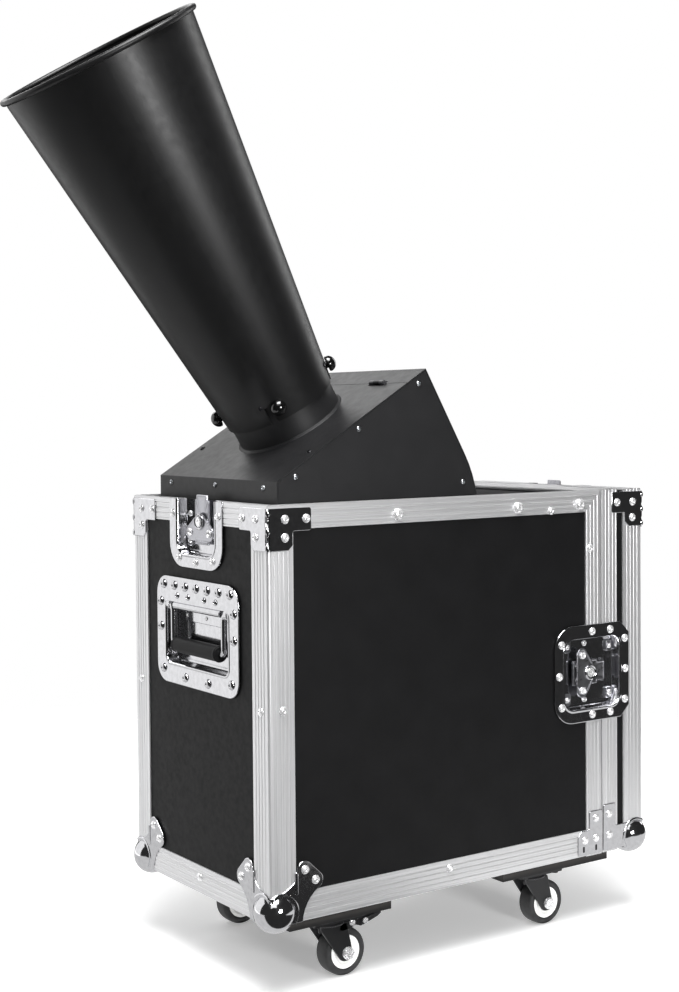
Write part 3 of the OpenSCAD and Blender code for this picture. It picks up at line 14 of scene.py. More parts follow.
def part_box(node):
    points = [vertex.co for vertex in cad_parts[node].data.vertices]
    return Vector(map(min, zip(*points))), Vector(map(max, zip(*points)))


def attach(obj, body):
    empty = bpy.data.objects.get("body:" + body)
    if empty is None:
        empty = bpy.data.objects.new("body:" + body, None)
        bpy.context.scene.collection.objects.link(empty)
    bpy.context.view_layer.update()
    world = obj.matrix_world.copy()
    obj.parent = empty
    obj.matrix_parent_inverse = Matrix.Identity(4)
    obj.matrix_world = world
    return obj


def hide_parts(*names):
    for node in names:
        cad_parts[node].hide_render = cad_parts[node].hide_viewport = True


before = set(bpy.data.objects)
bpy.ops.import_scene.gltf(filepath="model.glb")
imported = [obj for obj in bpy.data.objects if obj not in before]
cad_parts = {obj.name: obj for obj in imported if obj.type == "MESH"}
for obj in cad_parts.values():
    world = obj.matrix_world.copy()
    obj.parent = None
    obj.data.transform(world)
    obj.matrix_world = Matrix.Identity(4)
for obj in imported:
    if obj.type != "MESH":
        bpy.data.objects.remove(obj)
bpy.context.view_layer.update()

bl_info = {
    "name": "Confetti blower dressing",
    "version": (1, 0, 0),
    "blender": (4, 5, 0),
    "location": "View3D > Sidebar > Blower",
    "description": "Pressed hardware, extrusions, coats and a plain studio for a cased confetti blower",
    "category": "Object",
}

PER_METRE = 1000.0

# Case: tub, skins, rim, extrusions and the dishes in its sides, in millimetres
TUB, DOOR_X, CASE_W, CASE_H = 446.0, 510.0, 278.0, 414.0
MID = CASE_W / 2
RIM, SKIN, PANEL_IN = 12.0, 1.5, 10.5
LEG, FACE, WEB, INNER = 30.0, 24.0, 4.0, 14.0
MITRE, DOOR_FLOOR = 0.18, 0.5
REED_PITCH, REED_W, SEAM_STEP = 5.4, 1.6, 0.75
LATCH_Z, HANDLE_Z = 208.0, 273.0
LATCH_H, LATCH_W, KEEPER_W, PAN_SIDE, PAN_H, PAN_D = 110.0, 72.0, 42.0, 14.0, 80.0, 13.0
PLATE, PAN_GAP = 1.2, 0.4
PAN_HALF = PAN_H / 2 + PAN_GAP
BALL_R, BALL_IN = 21.0, 12.0
HANDLE_W, HANDLE_H, HANDLE_D = 170.0, 115.0, 14.0
HANDLE_PAN, PAN_DROP = (131.0, 66.0), 2.5
BAIL_X, BAIL_Y, GRIP_Y, BAIL_OUT = 52.7, 26.5, -15.0, -1.5
HOOK_Z, WING_Z, POST_X, LID_POST_X = -8.6, -5.6, -14.0, -23.0

# Machine: hood, spigot, barrel and knobs
SLOPE = math.radians(31.2)
HOOD_X0, HOOD_X1, LIP_Z = 23.5, 279.5, 436.0
HOOD_Y0, HOOD_Y1 = 19.0, 259.0
SPIGOT_R, SPIGOT_T = 58.5, 1.5
BARREL_R, MOUTH_R, BARREL_Z0, MOUTH_Z = 61.6, 104.9, 25.0, 434.0
BARREL_SLOPE = (MOUTH_R - BARREL_R) / (MOUTH_Z - BARREL_Z0)
KNOB_Z, KNOB_A, KNOB_SEAT = 40.0, 238.5, 64.41
TURN, SLOT_W, SLOT_END = 9.0, 9.0, 4.49

# Casters: where each swivels, then from its king pin's foot
SWIVEL_X, SWIVEL_Y = (90.0, 367.0), (37.0, 241.0)
AXLE_X, AXLE_Z, WHEEL_R, WHEEL_W = 18.0, -52.0, 25.0, 20.0
FORK_TOP, FORK_T, LEG_IN = -18.5, 2.5, 11.0
PIVOT_X, PIVOT_Z = 24.0, -21.5

# The left end panel's low corner is known in both, which gives the frame's zero in the case
ORIGIN = np.array([SKIN, PANEL_IN, PANEL_IN]) - np.array(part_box("left_end_panel")[0], float) * PER_METRE


def place(origin, x, y, z):
    """An origin and three directions, as rows."""
    return np.array([origin, x, y, z], float)


def moved(at, x=0.0, y=0.0, z=0.0):
    """The same directions about another point of the place."""
    out = at.copy()
    out[0] = at[0] + x * at[1] + y * at[2] + z * at[3]
    return out


def turned(at, degrees):
    """The place turned about its own z."""
    c, s = math.cos(math.radians(degrees)), math.sin(math.radians(degrees))
    out = at.copy()
    out[1], out[2] = at[1] * c + at[2] * s, at[2] * c - at[1] * s
    return out


def tipped(at):
    """The place with its z turned to its own x, its x to y and its y to z."""
    return at[[0, 2, 3, 1]]


def mirrored(at):
    """The place's counterpart on the case's far side."""
    out = at * np.array([1, -1, 1])
    out[0, 1] += CASE_W
    return out


X, Y, Z = np.eye(3)
CASE = place((0, 0, 0), X, Y, Z)
NEAR = place((0, 0, 0), X, Z, -Y)
LEFT = place((0, MID, 0), -Y, Z, -X)
DOOR = place((DOOR_X, MID, 0), Y, Z, X)
LID = place((0, MID, CASE_H), Z, Y, -X)
DOOR_LID = place((DOOR_X, MID, CASE_H), Z, -Y, X)
SIDES = (NEAR, mirrored(NEAR))
SEAMS = tuple(moved(at, TUB, LATCH_Z) for at in SIDES)
UP_SLOPE = np.array([math.cos(SLOPE), 0, math.sin(SLOPE)])
OFF_SLOPE = np.array([-math.sin(SLOPE), 0, math.cos(SLOPE)])
ON_SLOPE = place((HOOD_X0, 0, LIP_Z), UP_SLOPE, Y, OFF_SLOPE)
AXIS = moved(ON_SLOPE, 110.0, MID)


def end_face(at, x=0.0, z=0.0):
    """From a long side's place, that of the left end, or of the door with its x, at their common corner."""
    return place(at[0] + x * X + z * Z, -at[3], Z, X if x else -X)


def edges_from(at, x=0.0, z=0.0):
    """From a long side's place, one whose directions run along the three edges from a corner."""
    return place(at[0] + x * X + z * Z, -X if x else X, -at[3], Z)


# Shapes: each returns its points in a place's millimetres and its faces


def unit(rows):
    """Each row over its own length."""
    return rows / np.linalg.norm(rows, axis=-1, keepdims=True)


def arc(angles, radius=1.0, centre=(0.0, 0.0)):
    """Points of a circle about a centre, at these angles."""
    return centre + radius * np.column_stack([np.cos(angles), np.sin(angles)])


def loft(rings, around=True, looped=False):
    """Rings of matched points joined by four-sided faces. A ring drawn to one point closes as a pole, a cap is
    one flat face, and a looped loft joins its last ring to its first."""
    rings = np.asarray(rings, float)
    poles = [np.ptp(rings[k], axis=0).max() < 1e-6 for k in (0, -1)]
    points = rings[int(poles[0]):len(rings) - int(poles[1])]
    count = points.shape[1]
    points = points.reshape(-1, 3)
    index = np.arange(len(points)).reshape(-1, count)
    here, beside = (index, np.roll(index, -1, 1)) if around else (index[:, :-1], index[:, 1:])
    if looped:
        quads = np.stack([here, beside, np.roll(beside, -1, 0), np.roll(here, -1, 0)], -1)
        return points, quads.reshape(-1, 4).tolist()
    faces = np.stack([here[:-1], beside[:-1], beside[1:], here[1:]], -1).reshape(-1, 4).tolist()
    for end, row in ((0, 0), (1, -1)):
        if poles[end]:
            tip = np.full(len(here[row]), len(points))
            points = np.vstack([points, rings[row, :1]])
            faces += np.stack([here[row], beside[row], tip], -1).tolist()
        else:
            faces.append(index[row].tolist())
    return points, faces


def lathe(profile, steps=32):
    """A profile of radius and height turned about z. A profile that doesn't start and end on the axis is
    joined to itself, as a ring."""
    profile = np.asarray(profile, float)
    angle = np.linspace(0, 2 * np.pi, steps, endpoint=False)
    rings = np.stack([profile[:, :1] * np.cos(angle), profile[:, :1] * np.sin(angle),
                      np.repeat(profile[:, 1:], steps, 1)], -1)
    ring = profile[0, 0] > 1e-6 and profile[-1, 0] > 1e-6
    return loft(rings, looped=ring)


def rounded(corners, radii, count=6):
    """A polygon with each corner replaced by count points of the arc that touches both its sides."""
    corner = np.asarray(corners, float)
    radius = np.broadcast_to(np.asarray(radii, float), len(corner))[:, None]
    back, ahead = unit(np.roll(corner, 1, 0) - corner), unit(np.roll(corner, -1, 0) - corner)
    half = np.maximum(np.arccos(np.clip((back * ahead).sum(1, keepdims=True), -1, 1)) / 2, 1e-3)
    middle = back + ahead
    middle /= np.maximum(np.linalg.norm(middle, axis=1, keepdims=True), 1e-9)
    centre = corner + middle * radius / np.sin(half)
    start = corner + back * radius / np.tan(half) - centre
    end = corner + ahead * radius / np.tan(half) - centre
    a0 = np.arctan2(start[:, 1], start[:, 0])
    sweep = (np.arctan2(end[:, 1], end[:, 0]) - a0 + np.pi) % (2 * np.pi) - np.pi
    angle = a0[:, None] + sweep[:, None] * np.linspace(0, 1, count)
    return (centre[:, None] + radius[:, None] * np.stack([np.cos(angle), np.sin(angle)], -1)).reshape(-1, 2)


def oblong(x0, y0, x1, y1, radii, count=6):
    """A rectangle between two corners with its corners rounded."""
    return rounded([(x0, y0), (x1, y0), (x1, y1), (x0, y1)], radii, count)


def shrunk(outline, by):
    """An outline moved inwards along its own normals."""
    ahead = np.roll(outline, -1, 0) - np.roll(outline, 1, 0)
    normal = unit(np.stack([-ahead[:, 1], ahead[:, 0]], -1))
    x, y = outline.T
    area = (x * np.roll(y, -1) - y * np.roll(x, -1)).sum()
    return outline + normal * by * np.sign(area)


def resampled(outline, count):
    """Points spread evenly along a closed outline, interpolated over its length."""
    closed = np.vstack([outline, outline[:1]])
    length = np.append(0, np.cumsum(np.linalg.norm(np.diff(closed, axis=0), axis=1)))
    at = np.linspace(0, length[-1], count, endpoint=False)
    return np.column_stack([np.interp(at, length, closed[:, k]) for k in (0, 1)])


def stacked(outline, steps):
    """Rings of one outline: each step is how far it is drawn in and its height."""
    return [np.insert(shrunk(outline, by), 2, z, axis=1) for by, z in steps]


def edge_roll(thick, radius, z=0.0):
    """Steps of a pressed plate's rim: up the side and over a quarter round."""
    angle = np.linspace(0, np.pi / 2, 4)
    return [(0.0, z)] + list(zip(radius * (1 - np.cos(angle)), z + thick - radius + radius * np.sin(angle)))


def pressed(outline, thick, radius, z=0.0):
    """A flat pressing: its outline carried up a rounded rim to a flat top."""
    return loft(stacked(outline, edge_roll(thick, radius, z) + [(radius + 0.3, z + thick)]))


def block(low, high, radius=0.4):
    """A bar of sheet or plate between two corners, its upper edges rounded."""
    (x0, y0, z0), (x1, y1, z1) = low, high
    return pressed(oblong(x0, y0, x1, y1, radius, 4), z1 - z0, radius * 0.9, z0)


def tube(path, radius, steps=14, normal=(0, 0, 1)):
    """A round section carried along a path, held upright by one direction that the path never follows. The
    radius may differ along the path."""
    path = np.asarray(path, float)
    along = unit(np.gradient(path, axis=0))
    side = unit(np.cross(along, np.asarray(normal, float)))
    up = np.cross(side, along)
    angle = np.linspace(0, 2 * np.pi, steps, endpoint=False)
    radius = np.broadcast_to(np.asarray(radius, float), len(path))[:, None, None]
    rings = path[:, None] + radius * (side[:, None] * np.cos(angle)[None, :, None]
                                      + up[:, None] * np.sin(angle)[None, :, None])
    return loft(rings)


def bent(points, radius, count=7):
    """An open path in a plane with its inner corners rounded."""
    points = np.asarray(points, float)
    arcs = rounded(points, radius, count).reshape(len(points), count, 2)
    return np.vstack([points[:1], arcs[1:-1].reshape(-1, 2), points[-1:]])


def bar(profile, at, cut0, cut1):
    """A profile carried along a place's z between two planes, each a point and a normal in the case."""
    points = at[0] + profile[:, :1] * at[1] + profile[:, 1:] * at[2]
    rings = []
    for through, normal in (cut0, cut1):
        normal = np.asarray(normal, float)
        reach = ((np.asarray(through, float) - points) @ normal) / (at[3] @ normal)
        rings.append(points + reach[:, None] * at[3])
    return loft(rings)


def reeds(start, end, inward, places):
    """Points along a face with a soft dip at each place: half a sine wave across the reed's width."""
    depth = bpy.context.scene.blower_case.reed_depth * PER_METRE
    start, end = np.asarray(start, float), np.asarray(end, float)
    length = np.linalg.norm(end - start)
    u = np.linspace(0, 1, 7)
    along = np.concatenate([[0.0]] + [p + REED_W * u for p in places] + [[length]])
    dip = np.concatenate([[0.0]] + [depth * np.sin(np.pi * u)] * len(places) + [[0.0]])
    return start + along[:, None] * (end - start) / length + dip[:, None] * np.asarray(inward, float)


# Materials


def linear(colour):
    """An sRGB hex value or triple as linear colour."""
    if isinstance(colour, str):
        colour = [int(colour[k:k + 2], 16) / 255 for k in (1, 3, 5)]
    c = np.asarray(colour, float)[:3]
    return (*np.where(c <= 0.04045, c / 12.92, ((c + 0.055) / 1.055) ** 2.4), 1.0)


def node(tree, kind, settings=None, **links):
    """Adds one node: settings are its properties and socket values, links name the sockets that feed it."""
    made = tree.nodes.new("ShaderNode" + kind)
    for name, value in (settings or {}).items():
        if hasattr(made, name):
            setattr(made, name, value)
        else:
            made.inputs[name].default_value = value
    for name, source in links.items():
        sockets = [s for s in made.inputs if s.name.replace(" ", "_") == name and s.enabled]
        tree.links.new(source, sockets[0])
    return made


def drawn(tree, where, kind, size=1.0, detail=3.0, stretch=None):
    """The output of a pattern whose features are size millimetres across: noise, drawn out along the axes whose
    stretch is below 1; cells; plies of a board, times its grain; or, with no size, the edges that stand out."""
    if kind == "edges":
        return node(tree, "NewGeometry").outputs["Pointiness"]
    scale = PER_METRE / size
    if kind == "cells":
        return node(tree, "TexVoronoi", {"Scale": scale}, Vector=where).outputs["Distance"]
    if kind == "plies":
        plies = node(tree, "TexWave", {"Scale": scale / 20.0, "Distortion": 0.6, "bands_direction": "Z"},
                     Vector=where)
        product = node(tree, "Math", {"operation": "MULTIPLY"})
        tree.links.new(drawn(tree, where, *PLANK_GRAIN), product.inputs[0])
        tree.links.new(plies.outputs["Fac"], product.inputs[1])
        return product.outputs["Value"]
    if stretch:
        where = node(tree, "Mapping", {"Scale": stretch}, Vector=where).outputs["Vector"]
    return node(tree, "TexNoise", {"Scale": scale, "Detail": detail}, Vector=where).outputs["Fac"]


NOISE_SPAN = (0.3, 0.7)


def finish(slot, name, colours, pattern, span=NOISE_SPAN, rough=None, relief=None, **surface):
    """A material with one Principled shader, whose sockets hold what is the same all over. A pattern grades
    the colour between two over a span of its range. Rough is two roughnesses and their pattern, relief is a
    depth in millimetres, a strength and their pattern."""
    made = bpy.data.materials.new(name)
    made.use_nodes = True
    tree = made.node_tree
    shader = tree.nodes["Principled BSDF"]
    for key, value in surface.items():
        shader.inputs[key.replace("_", " ")].default_value = value
    where = node(tree, "TexCoord").outputs["Object"]
    patterns = {pattern, *(rough or ())[2:], *(relief or ())[2:]}
    source = {row: drawn(tree, where, *row) for row in sorted(patterns, key=str)}
    ramp = node(tree, "ValToRGB", None, Fac=source[pattern])
    for stop, position, colour in zip(ramp.color_ramp.elements, span, colours):
        stop.position, stop.color = position, linear(colour)
    tree.links.new(ramp.outputs["Color"], shader.inputs["Base Color"])
    if rough:
        ends = zip(("From Min", "From Max", "To Min", "To Max"), (*NOISE_SPAN, *rough[:2]))
        spread = node(tree, "MapRange", dict(ends), Value=source[rough[2]])
        tree.links.new(spread.outputs["Result"], shader.inputs["Roughness"])
    if relief:
        raised = node(tree, "Bump", {"Strength": relief[1], "Distance": relief[0] / PER_METRE},
                      Height=source[relief[2]])
        tree.links.new(raised.outputs["Normal"], shader.inputs["Normal"])
    MATERIALS[slot] = made
    return tree, shader, where


def tinted(colour, by):
    """A colour's three values times one number."""
    return [c * by for c in colour]


MATERIALS = {}
PLANK_GRAIN = ("noise", 5.0, 5.0, (0.05, 1, 1))


def make_materials():
    """Every finish of the object, by its slot."""
    looks = bpy.context.scene.blower_finishes

    # Phenolic film pressed on birch ply: near black, satin, with a fine dimpled print that breaks the gloss
    finish("laminate", "pressed_phenolic_laminate", (looks.laminate, tinted(looks.laminate, 1.25)),
           ("noise", 34.0, 2.0), rough=(0.44, 0.56, ("noise", 6.0)), relief=(0.03, 0.25, ("cells", 1.4)),
           IOR=1.5, Specular_IOR_Level=0.15)
    # Black-stained plywood: dull face with grain, its edge in thin plies about 1.5 mm thick
    finish("plank", "stained_plywood", ("#141313", "#2b2826"), ("plies", 1.5), (0.1, 0.6),
           relief=(0.12, 0.5, PLANK_GRAIN), Roughness=0.62, IOR=1.5)
    # Extruded aluminium, clear anodised: soft silver with die lines drawn out along each bar
    for axis, stretch in (("x", (0.004, 1, 1)), ("y", (1, 0.004, 1)), ("z", (1, 1, 0.004))):
        lines = ("noise", 0.9, 4.0, stretch)
        finish("extrusion_" + axis, "anodised_extrusion_" + axis,
               (tinted(looks.aluminium, 0.9), looks.aluminium), lines, rough=(0.3, 0.42, lines),
               relief=(0.03, 0.5, lines), Metallic=0.75)
    MATERIALS["extrusion"] = MATERIALS["extrusion_z"]
    # Pressed steel with bright nickel plate: mirror-like, slightly rippled from the press
    smear = ("noise", 5.0, 4.0)
    for slot, colour, low, high in (
            ("bright_steel", looks.nickel, 0.07, 0.12), ("dish_steel", looks.nickel, 0.08, 0.14),
            ("latch_steel", looks.latch, 0.26, 0.36)):
        finish(slot, "nickel_plated_" + slot, (tinted(colour, 0.95), colour), smear, rough=(low, high, smear),
               relief=(0.18, 0.3, ("noise", 14.0, 2.0)), Metallic=1.0)
    # Steel sheet in fine black powder coat: an even satin skin with orange peel 1.2 to 1.6 mm across
    for slot, peel, sheen, tint, low in (
            ("black_sheet", 1.2, 0.34, 1.0, 0.4), ("barrel_coat", 1.6, 0.36, 0.62, 0.35)):
        finish(slot, "powder_coat_" + slot, (tinted(looks.powder, tint), tinted(looks.powder, tint * 1.18)),
               ("noise", 60.0, 2.0), rough=(low, low + 0.07, ("noise", 9.0)),
               relief=(0.05, 0.35, ("noise", peel, 1.0)), IOR=1.5, Specular_IOR_Level=sheen)
    # Zinc-plated sheet: grey metal with a faint spangle
    spangle = ("cells", 7.0)
    finish("plain_sheet", "zinc_plated_sheet", ("#8c8f93", "#b4b7ba"), spangle, (0.1, 0.8),
           rough=(0.3, 0.42, spangle), Metallic=1.0)
    # Electrophoretic black on pressed steel: deep and slightly glossy, lighter along its sharp edges
    finish("caster_steel", "black_e_coat", (looks.caster, "#3a3a3c"), ("edges",), (0.53, 0.62),
           rough=(0.3, 0.42, ("noise", 8.0)), relief=(0.04, 0.3, ("noise", 2.0, 2.0)), IOR=1.5)
    # Moulded rubber tyre: matt dark grey with a little dust in it
    finish("wheel_rubber", "moulded_rubber", ("#1d1d1e", "#2c2c2d"), ("noise", 7.0, 4.0),
           relief=(0.06, 0.4, ("noise", 0.8, 2.0)), Roughness=0.6, IOR=1.5)
    # Rubber sleeve of the handles: black, matt, fine grain
    finish("grip_rubber", "handle_rubber", ("#0f0f10", "#161617"), ("noise", 9.0),
           relief=(0.05, 0.5, ("noise", 0.7, 2.0)), Roughness=0.5, IOR=1.5, Specular_IOR_Level=0.16)
    # Moulded nylon, bright white hub of the casters
    finish("wheel_hub", "moulded_nylon_hub", ("#e4e4e2", "#f2f2f0"), ("noise", 8.0), Roughness=0.32, IOR=1.53)
    # Moulded black phenolic knobs: deep gloss
    finish("gloss_black", "moulded_gloss_phenolic", ("#060606", "#0d0d0d"), ("noise", 4.0), Roughness=0.12,
           IOR=1.55, Coat_Weight=0.4, Coat_Roughness=0.05)
    # Moulded black ABS of sockets and bezels: satin, with a fine moulded grain
    finish("black_plastic", "moulded_abs", ("#1a1a1b", "#232324"), ("noise", 5.0),
           relief=(0.03, 0.5, ("noise", 0.6, 1.0)), Roughness=0.45, IOR=1.53)
    # Turned brass of the gas nozzle: warm, its gloss broken by fine tool marks
    finish("brass", "turned_brass", ("#b08d4a", "#cba75f"), ("noise", 3.0), rough=(0.2, 0.34, ("noise", 0.6)),
           Metallic=1.0)
    # Turned and zinc-plated steel of pipes, valve and screws: cool grey, its gloss broken in the same way
    finish("pipe_steel", "turned_plated_steel", ("#a3a6aa", "#c2c5c8"), ("noise", 4.0),
           rough=(0.22, 0.36, ("noise", 0.7)), Metallic=1.0)
    # Glass-fibre board in green solder mask: even and fairly glossy
    finish("board", "solder_mask_board", ("#134a28", "#1d6337"), ("noise", 2.0), Roughness=0.35, IOR=1.5)
    # Moulded red ABS of the rocker and the push button: smooth and glossy
    finish("red_plastic", "moulded_red_abs", ("#a81c17", "#bf2a23"), ("noise", 4.0), Roughness=0.28, IOR=1.53)
    # Black-oxide screw: dark and satin
    finish("black_screw", "black_oxide_screw", ("#2c2c2e", "#3a3a3c"), ("noise", 2.0),
           rough=(0.3, 0.42, ("noise", 1.0)), Metallic=1.0)
    # Zinc-plated rivets and bolts: bright, with a little tarnish in the dimple
    finish("rivet", "plated_rivet_steel", ("#ececee", "#fbfbfb"), ("noise", 3.0),
           rough=(0.2, 0.32, ("noise", 1.2)), Metallic=0.72)
    # The latches' dishes: the dishes' plate under a name of its own
    MATERIALS["latch_dish"] = MATERIALS["dish_steel"].copy()
    MATERIALS["latch_dish"].name = "nickel_plated_latch_dish"


# Making pieces


def put(shape, at=CASE, wear="bright_steel"):
    """A shape carried by a place into the case, with the finish that it wears."""
    points, faces = shape
    return at[0] + points @ at[1:], faces, wear


def piece(name, parts, body, stands_for, sharp=38.0):
    """Joins parts into one object in the frame, faces outwards, with its finishes, body and CAD nodes."""
    names = sorted({part[2] for part in parts})
    points, faces, wears, start = [], [], [], 0
    for where, polygons, wear in parts:
        points.append(where)
        faces += [[v + start for v in face] for face in polygons]
        wears += [names.index(wear)] * len(polygons)
        start += len(where)
    mesh = bpy.data.meshes.new(name)
    mesh.from_pydata(((np.vstack(points) - ORIGIN) / PER_METRE).tolist(), [], faces)
    mesh.polygons.foreach_set("material_index", wears)
    for wear in names:
        mesh.materials.append(MATERIALS[wear])
    shell = bmesh.new()
    shell.from_mesh(mesh)
    bmesh.ops.recalc_face_normals(shell, faces=shell.faces)
    shell.to_mesh(mesh)
    shell.free()
    mesh.shade_smooth()
    mesh.set_sharp_from_angle(angle=math.radians(sharp))
    made = bpy.data.objects.new(name, mesh)
    bpy.context.scene.collection.objects.link(made)
    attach(made, body)
    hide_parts(*stands_for)


# Extrusions


def angle_section():
    """Corner angle: two reeded legs meeting in a round nose, the inside plain."""
    nose = np.linspace(np.pi * 1.5, np.pi, 9)
    r = 3.0
    places = 7.0 - r + REED_PITCH * np.arange(4)
    lower = reeds((LEG, 0), (r, 0), (0, 1), LEG - r - places[::-1] - REED_W)
    side = reeds((0, r), (0, LEG), (1, 0), places)
    inner = [(SKIN, LEG), (SKIN, SKIN), (LEG, SKIN)]
    return np.vstack([lower, arc(nose, r, (r, r))[1:-1], side, inner])


def edge_section(tongue, lift=0.0, step=0.2):
    """Edge extrusion: x is depth from the outer face and y the distance back from the mating face. A reeded
    face, a web over the panel's edge with its tongue or groove, and a leg inside. The outer corner stands back
    by step, which leaves a shadow line along a shut seam."""
    low = (RIM - 3.0) / 2
    inside, outside, reach = (low - lift, low + 3 - lift, -2.2) if tongue else (low - 0.3, low + 3.3, 2.6)
    joint = [(outside, 0), (outside, reach), (inside, reach), (inside, 0)]
    inner = [(SKIN, FACE), (SKIN, WEB), (RIM - SKIN, WEB), (RIM - SKIN, INNER), (RIM, INNER), (RIM, 0)]
    corner = [(5 * step, 0), (5 * step - 0.1, step), (0.15, step)]
    face = reeds((0, step + 0.4), (0, FACE), (1, 0), 4.4 + REED_PITCH * np.arange(4))
    return np.vstack([inner, joint, corner, face])


def add_bar(parts, section, at, *cuts, pair=False):
    """Adds a bar between two cuts, in the finish whose die lines run along it, and its counterpart on the far
    side where it is one of a pair."""
    wear = "extrusion_" + "xyz"[np.abs(at[3]).argmax()]
    parts.append(put(bar(section, at, *cuts), CASE, wear))
    if pair:
        far = [(np.multiply(p, (1, -1, 1)) + (0, CASE_W, 0), np.multiply(n, (1, -1, 1))) for p, n in cuts]
        parts.append(put(bar(section, mirrored(at), *far), CASE, wear))


BELOW_DISH, ABOVE_DISH = ((0, 0, LATCH_Z - PAN_HALF), Z), ((0, 0, LATCH_Z + PAN_HALF), Z)
BESIDE_DISH = ((0, MID - PAN_HALF, 0), Y)
ACROSS = ((0, RIM + MITRE, 0), Y), ((0, CASE_W - RIM - MITRE, 0), Y)


class BlowerFrameBars(bpy.types.Operator):
    """Reeded aluminium angles, rims and seam frame of the tub"""

    bl_idname = "blower.frame_bars"
    bl_label = "Tub extrusions"

    def execute(self, context):
        angle, edge, seam = angle_section(), edge_section(False), edge_section(False, step=SEAM_STEP)
        near_end = ((MITRE, 0, 0), (1, -1, 0))
        upright = place((TUB, 0, 0), Y, -X, Z)
        parts = []
        add_bar(parts, angle, place((0, 0, 0), Y, Z, X), near_end, ((TUB - FACE - MITRE, 0, 0), X), pair=True)
        add_bar(parts, angle, CASE, ((0, 0, LEG + MITRE), Z), ((0, 0, CASE_H - FACE - MITRE), Z), pair=True)
        add_bar(parts, edge, place((0, 0, CASE_H), Y, -Z, X), near_end, ((TUB - MITRE, 0, CASE_H), (1, 0, -1)),
                pair=True)
        add_bar(parts, seam, upright, ((0, 0, 0), Z), BELOW_DISH, pair=True)
        add_bar(parts, seam, upright, ABOVE_DISH, ((TUB, 0, CASE_H), (-1, 0, 1)), pair=True)
        add_bar(parts, edge, place((0, 0, CASE_H), X, -Z, Y), ((0, 0, 0), (-1, 1, 0)), BESIDE_DISH, pair=True)
        add_bar(parts, angle, place((0, 0, 0), X, Z, Y), ((0, 0, 0), (-1, 1, 0)), ((0, CASE_W, 0), (1, 1, 0)))
        add_bar(parts, seam, place((TUB, 0, 0), Z, -X, Y), *ACROSS)
        add_bar(parts, seam, place((TUB, 0, CASE_H), -Z, -X, Y), *ACROSS)
        piece("tub_extrusions", parts, "case", ("corner_extrusions", "edge_extrusions"), 25.0)
        return {"FINISHED"}


class BlowerDoorBars(bpy.types.Operator):
    """Reeded aluminium frame of the door, with its tongue"""

    bl_idname = "blower.door_bars"
    bl_label = "Door extrusions"

    def execute(self, context):
        angle, edge = angle_section(), edge_section(True, step=SEAM_STEP)
        sill = edge_section(True, DOOR_FLOOR, SEAM_STEP)
        upright = place((TUB, 0, 0), Y, X, Z)
        parts = []
        add_bar(parts, edge, upright, ((0, 0, DOOR_FLOOR), Z), BELOW_DISH, pair=True)
        add_bar(parts, edge, upright, ABOVE_DISH, ((0, 0, CASE_H), Z), pair=True)
        add_bar(parts, angle, place((DOOR_X, 0, 0), -X, Y, Z), ((0, 0, DOOR_FLOOR + MITRE), (0, -1, 1)),
                ((0, 0, CASE_H - MITRE), (0, 1, 1)), pair=True)
        add_bar(parts, angle, place((DOOR_X, 0, CASE_H), -X, -Z, Y), ((0, 0, CASE_H), (0, 1, 1)), BESIDE_DISH,
                pair=True)
        add_bar(parts, sill, place((TUB, 0, DOOR_FLOOR), Z, X, Y), *ACROSS)
        add_bar(parts, edge, place((TUB, 0, CASE_H), -Z, X, Y), *ACROSS)
        add_bar(parts, angle, place((DOOR_X, 0, DOOR_FLOOR), -X, Z, Y), ((0, 0, DOOR_FLOOR), (0, 1, -1)),
                ((0, CASE_W, DOOR_FLOOR), (0, 1, 1)))
        bridge = block((DOOR_X - LEG, MID - PAN_HALF, CASE_H - SKIN),
                       (DOOR_X - PAN_D - PAN_GAP, MID + PAN_HALF, CASE_H))
        parts.append(put(bridge, CASE, "extrusion_y"))
        piece("door_frame_bars", parts, "door", ("door_extrusions",), 25.0)
        return {"FINISHED"}


# Corners and braces


def petal_outline():
    """Clover petal: a neck beside the ball that widens into two round lobes, one round each rivet."""
    a = arc(np.radians(np.linspace(-62, 52, 12)), 9.2, (52.5, 40.0))
    b = arc(np.radians(np.linspace(38, 195, 14)), 9.2, (40.0, 52.0))
    heel = np.array([(1.0, 20.0), (12.0, 0.4), (37.0, 0.4)])
    u = np.linspace(0, 1, 7)[1:-1, None]
    right = np.array([37.0, 0.4]) * (1 - u) ** 2 + 2 * np.array([39.5, 21.0]) * u * (1 - u) + a[0] * u ** 2
    left = b[-1] * (1 - u) ** 2 + 2 * np.array([28.5, 35.0]) * u * (1 - u) + np.array([1.0, 29.0]) * u ** 2
    return np.vstack([heel, right, a, b, left, [(1.0, 29.0)]])


def ball_shell(count=40, rows=14):
    """The part of the ball outside the case: from its pole on the corner's diagonal, each meridian runs to
    where it meets the first face."""
    pole = -np.ones(3) / math.sqrt(3)
    side = unit(np.cross(pole, Z))
    up = np.cross(side, pole)
    around = np.linspace(0, 2 * np.pi, count, endpoint=False)
    out = side * np.cos(around)[:, None] + up * np.sin(around)[:, None]
    theta = np.linspace(0.01, 2.6, 400)
    reach = BALL_IN + BALL_R * (pole * np.cos(theta)[:, None, None] + out * np.sin(theta)[:, None, None])
    inside = (reach > 0.0).all(-1)
    limit = theta[np.argmax(inside, axis=0)]
    t = np.linspace(0, 1, rows)[:, None] * limit
    rings = BALL_IN + BALL_R * (pole * np.cos(t)[..., None] + out * np.sin(t)[..., None])
    return loft(rings)


